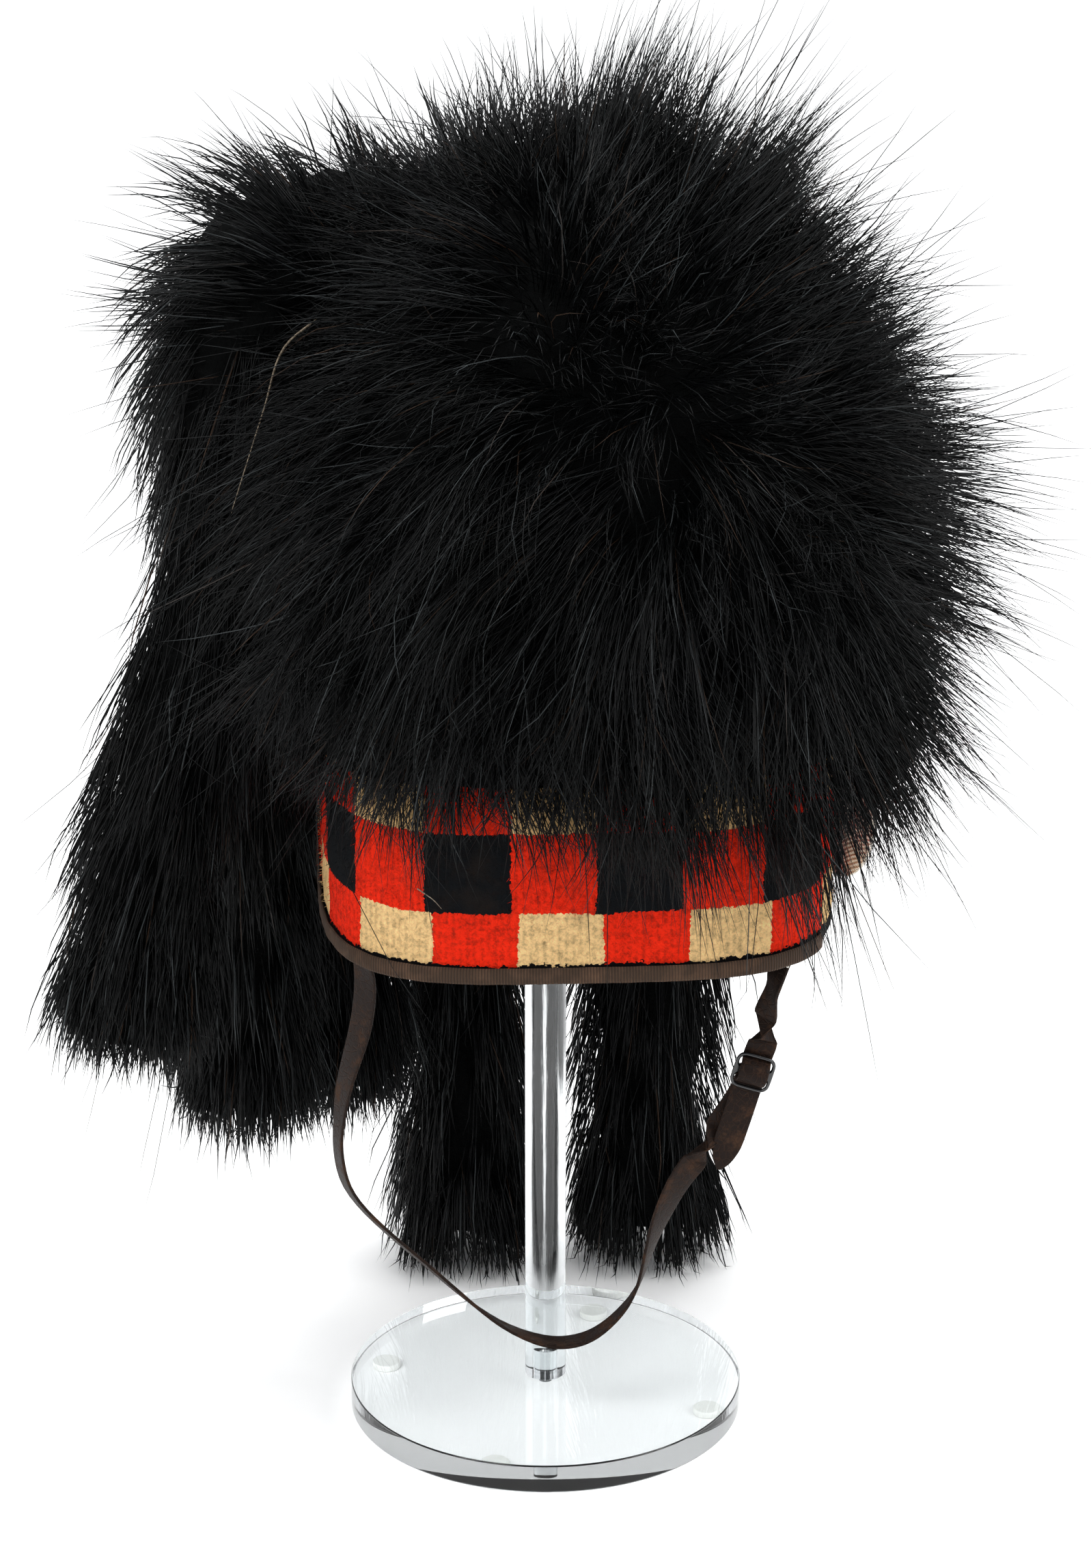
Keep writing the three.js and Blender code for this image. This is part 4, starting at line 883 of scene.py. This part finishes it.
class BONNET_OT_crown(bpy.types.Operator):
    """Makes the crown's felt and the locks of feather strands on it"""
    bl_idname = "bonnet.crown"
    bl_label = "Crown feathers"

    def execute(self, context):
        self.make_felt()
        self.make_feathers()
        return {"FINISHED"}

    def make_felt(self):
        shares = np.concatenate((np.linspace(0, 0.9, 22), np.linspace(0.92, 1, 9)))

        def felt(share, offset):
            def corner(azimuth):
                lumps = 1.6 * np.sin(azimuth * 0.21 + share * 17) * np.sin(azimuth * 0.13 - share * 9)
                return crown_point(share, offset + (lumps if offset > 2 else 0), azimuth)
            return corner

        profile = [felt(share, 9.0) for share in shares] + [felt(share, 0.4) for share in shares[::-4]]
        profile.append(felt(0, 0.4))
        piece = swept_ring(profile, 90)
        finish_piece(piece, "crown_felt", "black_feather", down_material(), ["crown_feathers"])

    def make_feathers(self):
        s = settings()
        rng = np.random.default_rng(SEED)
        up, turn = lock_roots(rng, s.lock_spacing / MM)
        hidden = (turn % 360 > 68) & (turn % 360 < 200) & (up < 0.7)
        kept = ~hidden | (rng.random(len(up)) < 0.45)
        up, turn = up[kept], turn[kept]
        comb = combed(up, turn)
        off, down, side = crown_directions(up, turn)
        angle = np.radians(turn)
        swirl = (0.28 * np.sin(3 * angle + 5 * up) + 0.22 * np.sin(7 * angle - 9 * up + 1.7)
                 + rng.normal(0, 0.13, len(up)))
        tuft = 1 + 0.13 * np.sin(5 * angle + 4 * up + 0.6) + 0.1 * np.sin(11 * angle - 7 * up)
        start = (off * (comb[:, :1] + rng.normal(0, 0.12, (len(up), 1))) + down * comb[:, 1:2]
                 + side * (comb[:, 2:3] + swirl[:, None]))
        end = unit(start) + down * 0.2 - comb[:, 4:5] * np.array((0, 0, 1))
        length = s.feather_length / MM * comb[:, 3] * tuft * rng.uniform(0.8, 1.12, len(up))
        root = crown_point(up, 3.5, turn)
        points, lock = grow(rng, root, start, end, length, s.lock_strands, **CROWN_LOCK)
        count = len(points)
        radius = s.strand_radius / MM * rng.uniform(0.75, 1.25, (count, 1)) * np.array(TAPER)
        tone = rng.random(count)
        height = root[lock, 2]
        band = np.digitize(height, np.quantile(height, (1 / 3, 2 / 3)))
        feather = feather_material()
        for index, name in enumerate(("crown_strands_low", "crown_strands_middle", "crown_strands_top")):
            chosen = band == index
            piece = strand_mesh(name, points[chosen], radius[chosen], tone[chosen])
            finish_piece(piece, name, "black_feather", feather)

        # Longer, finer strands that have worked loose and curl away from the rest.
        points, _ = grow(rng, root, start, end, length * WISP_LENGTH, CROWN_WISPS, **CROWN_WISP)
        radius = s.strand_radius / MM * 0.95 * np.ones((len(points), 1)) * np.array((1, 1, 0.85, 0.6))
        # Their tones run high, so a fifth of them take the glint colour: a painted highlight.
        wisps = strand_mesh("crown_wisps", points, radius, rng.uniform(0.5, 1, len(points)))
        finish_piece(wisps, "crown_wisps", "black_feather", feather)


class BONNET_OT_tails(bpy.types.Operator):
    """Makes the hanging feather tails"""
    bl_idname = "bonnet.tails"
    bl_label = "Hanging tails"

    def execute(self, context):
        for number, tail in enumerate(TAILS):
            path, length = tail_path(tail)
            core = path[:int(len(path) * (1 - 0.3 * BRUSH / length))]
            self.make_core(core, tail[1] * TAIL_RADIUS, tail[0])
            self.make_feathers(number, tail, path, length)
        return {"FINISHED"}

    def make_feathers(self, number, tail, path, length):
        s = settings()
        rng = np.random.default_rng(SEED + 10 + number)
        name, radius = tail[0], tail[1] * TAIL_RADIUS
        feather = bpy.data.materials[FEATHER_NAME]
        first, hangs_low = number == 0, path[-1, 2] < LOW_BRUSH

        # Where the locks are tied, each a golden angle round from the one before.
        along = (np.arange(s.tail_locks) + rng.random(s.tail_locks)) / s.tail_locks
        along = along * (1 - 0.4 * BRUSH / length)
        along[::7] = 1 - rng.uniform(0.5, 1, len(along[::7])) * BRUSH / length
        brush = np.clip((along * length - length + BRUSH) / (0.6 * BRUSH), 0, 1)
        shoulder = np.clip(1 - along / SHOULDER_END, 0, 1)
        steps = np.linspace(0, 1, len(path))
        here = between(along, steps, path)
        tangent = unit(between(along, steps, unit(np.gradient(path, axis=0))))
        turn = np.arange(s.tail_locks) * GOLDEN_ANGLE + rng.normal(0, 0.3, s.tail_locks)
        level, other = across_path(tangent)
        radial = level * np.cos(turn)[:, None] + other * np.sin(turn)[:, None]
        wide = radius * np.interp(along, TAIL_ALONG, TAIL_SWELL)
        out = np.interp(along, (0.4, 0.6), (0.46, 0.66)) - 0.4 * brush * rng.random(len(wide))
        root = here + radial * (wide * out)[:, None]

        # The way they leave and bend, and their length, cut off where the tail ends.
        flare = np.interp(along, (0, 0.1, 0.25, 1), (1.2, 0.6, 0.3, 0.26)) * (1 - 0.3 * brush)
        flare = (flare * (1.2 if hangs_low else 1))[:, None]
        puff = shoulder[:, None] * np.array(SHOULDER_PUFF if first else (0, 0, 0))
        start = radial * flare + tangent * 0.85 + puff + rng.normal(0, 0.08, (s.tail_locks, 3))
        end = radial * flare * 0.3 + tangent * 0.9 + np.array((0, 0, -0.3))
        long = np.interp(along, (0, 0.2, 0.5, 1), (42, 48, 46, 44))
        long = long * rng.uniform(0.85, 1.15, s.tail_locks)
        long = long * (1 + 0.5 * shoulder * first)
        left = (1 - along) * length + rng.uniform(-1.5, 2.5, s.tail_locks)
        long = np.minimum(long, left / np.where(hangs_low * brush > 0, 0.78, 1.06))

        points, _ = grow(rng, root, start, end, long, TAIL_LOCK_STRANDS, **TAIL_LOCK)
        thick = s.strand_radius / MM * rng.uniform(1.0, 1.5, (len(points), 1)) * np.array(TAPER)
        piece = strand_mesh(name + "_strands", points, thick, rng.random(len(points)))
        finish_piece(piece, name + "_strands", "black_feather", feather, [name])

        free = along < 1 - 1.1 * BRUSH / length
        points, _ = grow(rng, root[free], start[free], end[free], long[free] * WISP_LENGTH,
                         TAIL_WISPS, **TAIL_WISP)
        thick = s.strand_radius / MM * 0.75 * np.ones((len(points), 1)) * np.array((1.0, 0.9, 0.6))
        piece = strand_mesh(name + "_wisps", points, thick, rng.random(len(points)))
        finish_piece(piece, name + "_wisps", "black_feather", feather)

    def make_core(self, path, radius, name):
        """The cord of twisted quills that the tail's feathers are tied to."""
        sides, rings, ball = 12, len(path), 0.01
        piece = primitive("uv_sphere", segments=sides, ring_count=rings + 1, radius=ball)
        level, other = across_path(unit(np.gradient(path, axis=0)))
        order = np.empty(len(piece.data.vertices) * 3)
        piece.data.vertices.foreach_get("co", order)
        flat = order.reshape(-1, 3)
        polar = np.arccos(np.clip(flat[:, 2] / ball, -1, 1)) / np.pi
        ring = np.clip(np.rint(polar * (rings + 1)).astype(int) - 1, 0, rings - 1)
        turn = np.arctan2(flat[:, 1], flat[:, 0])
        swell = radius * CORE_SHARE * np.interp(ring / (rings - 1), TAIL_ALONG, TAIL_SWELL)
        swell = swell * (1 + 0.12 * np.sin(ring * 0.9 + 3 * turn))
        swell[(polar < 0.001) | (polar > 0.999)] = 0
        radial = level[ring] * np.cos(turn)[:, None] + other[ring] * np.sin(turn)[:, None]
        place = path[ring] + radial * swell[:, None]
        piece.data.vertices.foreach_set("co", (place * MM).ravel())
        mend_normals(piece)
        bpy.ops.object.shade_smooth()
        finish_piece(piece, name + "_core", "black_feather", bpy.data.materials[DOWN_NAME])


class BONNET_OT_trim(bpy.types.Operator):
    """Makes the chin strap, its buckle, the rosette and the torn lining"""
    bl_idname = "bonnet.trim"
    bl_label = "Strap and trim"

    def execute(self, context):
        leather = leather_material()
        buckram = weave_material("Stiffened open buckram", "#fffdf6", "#d6ccb8", 1.3, 0.3)
        jobs = (
            ("chin_strap_long", 0.3, 1, "strap_leather", leather),
            ("chin_strap_short", 0.3, 1, "strap_leather", leather),
            ("chin_buckle", 0, 2, "japanned_wire", japanned_material()),
            ("cockade", 0.2, 1, "black_silk", silk_material()),
            ("cockade_backing", 0.2, 1, "buckram", buckram),
            ("torn_lining", 0.2, 2, "buckram", buckram),
        )
        for node, bevel, levels, slot, material in jobs:
            finish_piece(refined_copy(node, bevel, levels), node + "_fine", slot, material, [node])
        self.make_strays()
        return {"FINISHED"}

    def make_strays(self):
        # A bare quill and a loose thread, paler than everything round them.
        material = weave_material("Bare feather quill", "#8a7c68", "#4f4436", 2.0, 0.05, 0.6)
        for name, thickness, way in STRAYS:
            points, _ = smooth_curve(way, STRAY_PLACES)
            radius = thickness * np.linspace(1.0, 0.45, STRAY_PLACES - 2)[None]
            piece = strand_mesh(name, points[None], radius, np.array([0.5]))
            finish_piece(piece, name, "black_feather", material)


class BONNET_OT_stand(bpy.types.Operator):
    """Makes the clear stand: disc, rod, stud, plate and pads"""
    bl_idname = "bonnet.stand"
    bl_label = "Clear stand"

    def execute(self, context):
        acrylic, pad = acrylic_material(), pad_material()
        for node in ("stand_base", "stand_rod", "stand_plate", "stand_stud"):
            self.turned(node, acrylic, "clear_acrylic", 0.5 if node != "stand_stud" else 0.2)
        for number in range(1, 5):
            self.turned("stand_foot_%d" % number, pad, "pad_rubber", 0.5)
        return {"FINISHED"}

    def turned(self, node, material, slot, edge):
        """A round piece between the corners of its solid, with its rims polished round."""
        low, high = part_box(node)
        piece = primitive(
            "cylinder", vertices=128, radius=(high[0] - low[0]) / 2, depth=high[2] - low[2],
            location=[(a + b) / 2 for a, b in zip(low, high)])
        bpy.ops.object.transform_apply(location=True, rotation=True, scale=True)
        apply_modifier(piece, "BEVEL", width=edge * MM, segments=3, limit_method="ANGLE",
                       angle_limit=SMOOTH_ANGLE)
        bpy.ops.object.shade_smooth_by_angle(angle=math.radians(35))
        apply_modifier(piece, "WEIGHTED_NORMAL", weight=100, keep_sharp=True)
        finish_piece(piece, node + "_fine", slot, material, [node])


class BONNET_OT_stage(bpy.types.Operator):
    """Makes the pale floor, the studio light and the camera"""
    bl_idname = "bonnet.stage"
    bl_label = "Stage"

    def execute(self, context):
        floor = primitive("plane", size=9, location=(0, 0, CAD_BOX[0][2]))
        floor.name = "floor"
        material, tree, shader = new_material("White paper roll", roughness=0.8)
        grain = noise(tree, object_place(tree), 60)
        paint(tree, shader, mix_colour(tree, grain, linear("#f4f4f3"), linear("#fafafa")))
        floor.data.materials.append(material)

        world = bpy.data.worlds.new("Studio")
        context.scene.world = world
        world.use_nodes = True
        tree = world.node_tree
        way = add_node(tree, "ShaderNodeTexCoord").outputs["Generated"]
        part = add_node(tree, "ShaderNodeSeparateXYZ", links={0: way}).outputs
        # A dim part of the room in front of the bonnet gives the clear acrylic its dark edges.
        dim = ramp(tree, part[1], -0.55, -0.8)
        shade = mix_colour(tree, dim, WORLD_PALE, WORLD_DIM)
        tree.links.new(shade, tree.nodes["Background"].inputs["Color"])
        tree.nodes["Background"].inputs["Strength"].default_value = 1.0

        for name, place, size, power in LAMPS:
            self.lamp(name, place, size, power)

        camera = bpy.data.objects.new("camera", bpy.data.cameras.new("camera"))
        context.collection.objects.link(camera)
        camera.data.sensor_width = CAMERA_SENSOR
        camera.data.lens = CAMERA_LENS
        camera.data.clip_start, camera.data.clip_end = 0.05, 30
        camera.location = CAMERA_PLACE
        camera.rotation_euler = (math.radians(90 - CAMERA_DOWN), 0, 0)
        context.scene.camera = camera
        context.scene.view_settings.view_transform = "Standard"
        context.scene.view_settings.look = "None"
        return {"FINISHED"}

    def lamp(self, name, place, size, power):
        lamp = bpy.data.objects.new(name, bpy.data.lights.new(name, "AREA"))
        bpy.context.collection.objects.link(lamp)
        lamp.data.size = size
        lamp.data.energy = power
        lamp.location = place
        aim = Vector(LAMP_AIM) - Vector(place)
        lamp.rotation_euler = aim.to_track_quat("-Z", "Y").to_euler()


OPERATORS = (
    BONNET_OT_stand, BONNET_OT_band, BONNET_OT_crown, BONNET_OT_tails, BONNET_OT_trim,
    BONNET_OT_stage,
)


class BONNET_PT_panel(bpy.types.Panel):
    """Lists the bonnet's operators and settings"""
    bl_label = "Feather bonnet"
    bl_idname = "BONNET_PT_panel"
    bl_space_type = "VIEW_3D"
    bl_region_type = "UI"
    bl_category = "Bonnet"

    def draw(self, context):
        for name in BonnetSettings.__annotations__:
            self.layout.prop(context.scene.bonnet, name)
        for operator in OPERATORS:
            self.layout.operator(operator.bl_idname)


def register():
    bpy.utils.register_class(BonnetSettings)
    bpy.types.Scene.bonnet = bpy.props.PointerProperty(type=BonnetSettings)
    for operator in OPERATORS:
        bpy.utils.register_class(operator)
    bpy.utils.register_class(BONNET_PT_panel)


def unregister():
    bpy.utils.unregister_class(BONNET_PT_panel)
    for operator in reversed(OPERATORS):
        bpy.utils.unregister_class(operator)
    del bpy.types.Scene.bonnet
    bpy.utils.unregister_class(BonnetSettings)


def main():
    register()
    bpy.ops.bonnet.stand()
    bpy.ops.bonnet.band()
    bpy.ops.bonnet.crown()
    bpy.ops.bonnet.tails()
    bpy.ops.bonnet.trim()
    bpy.ops.bonnet.stage()


if __name__ == "__main__":
    main()
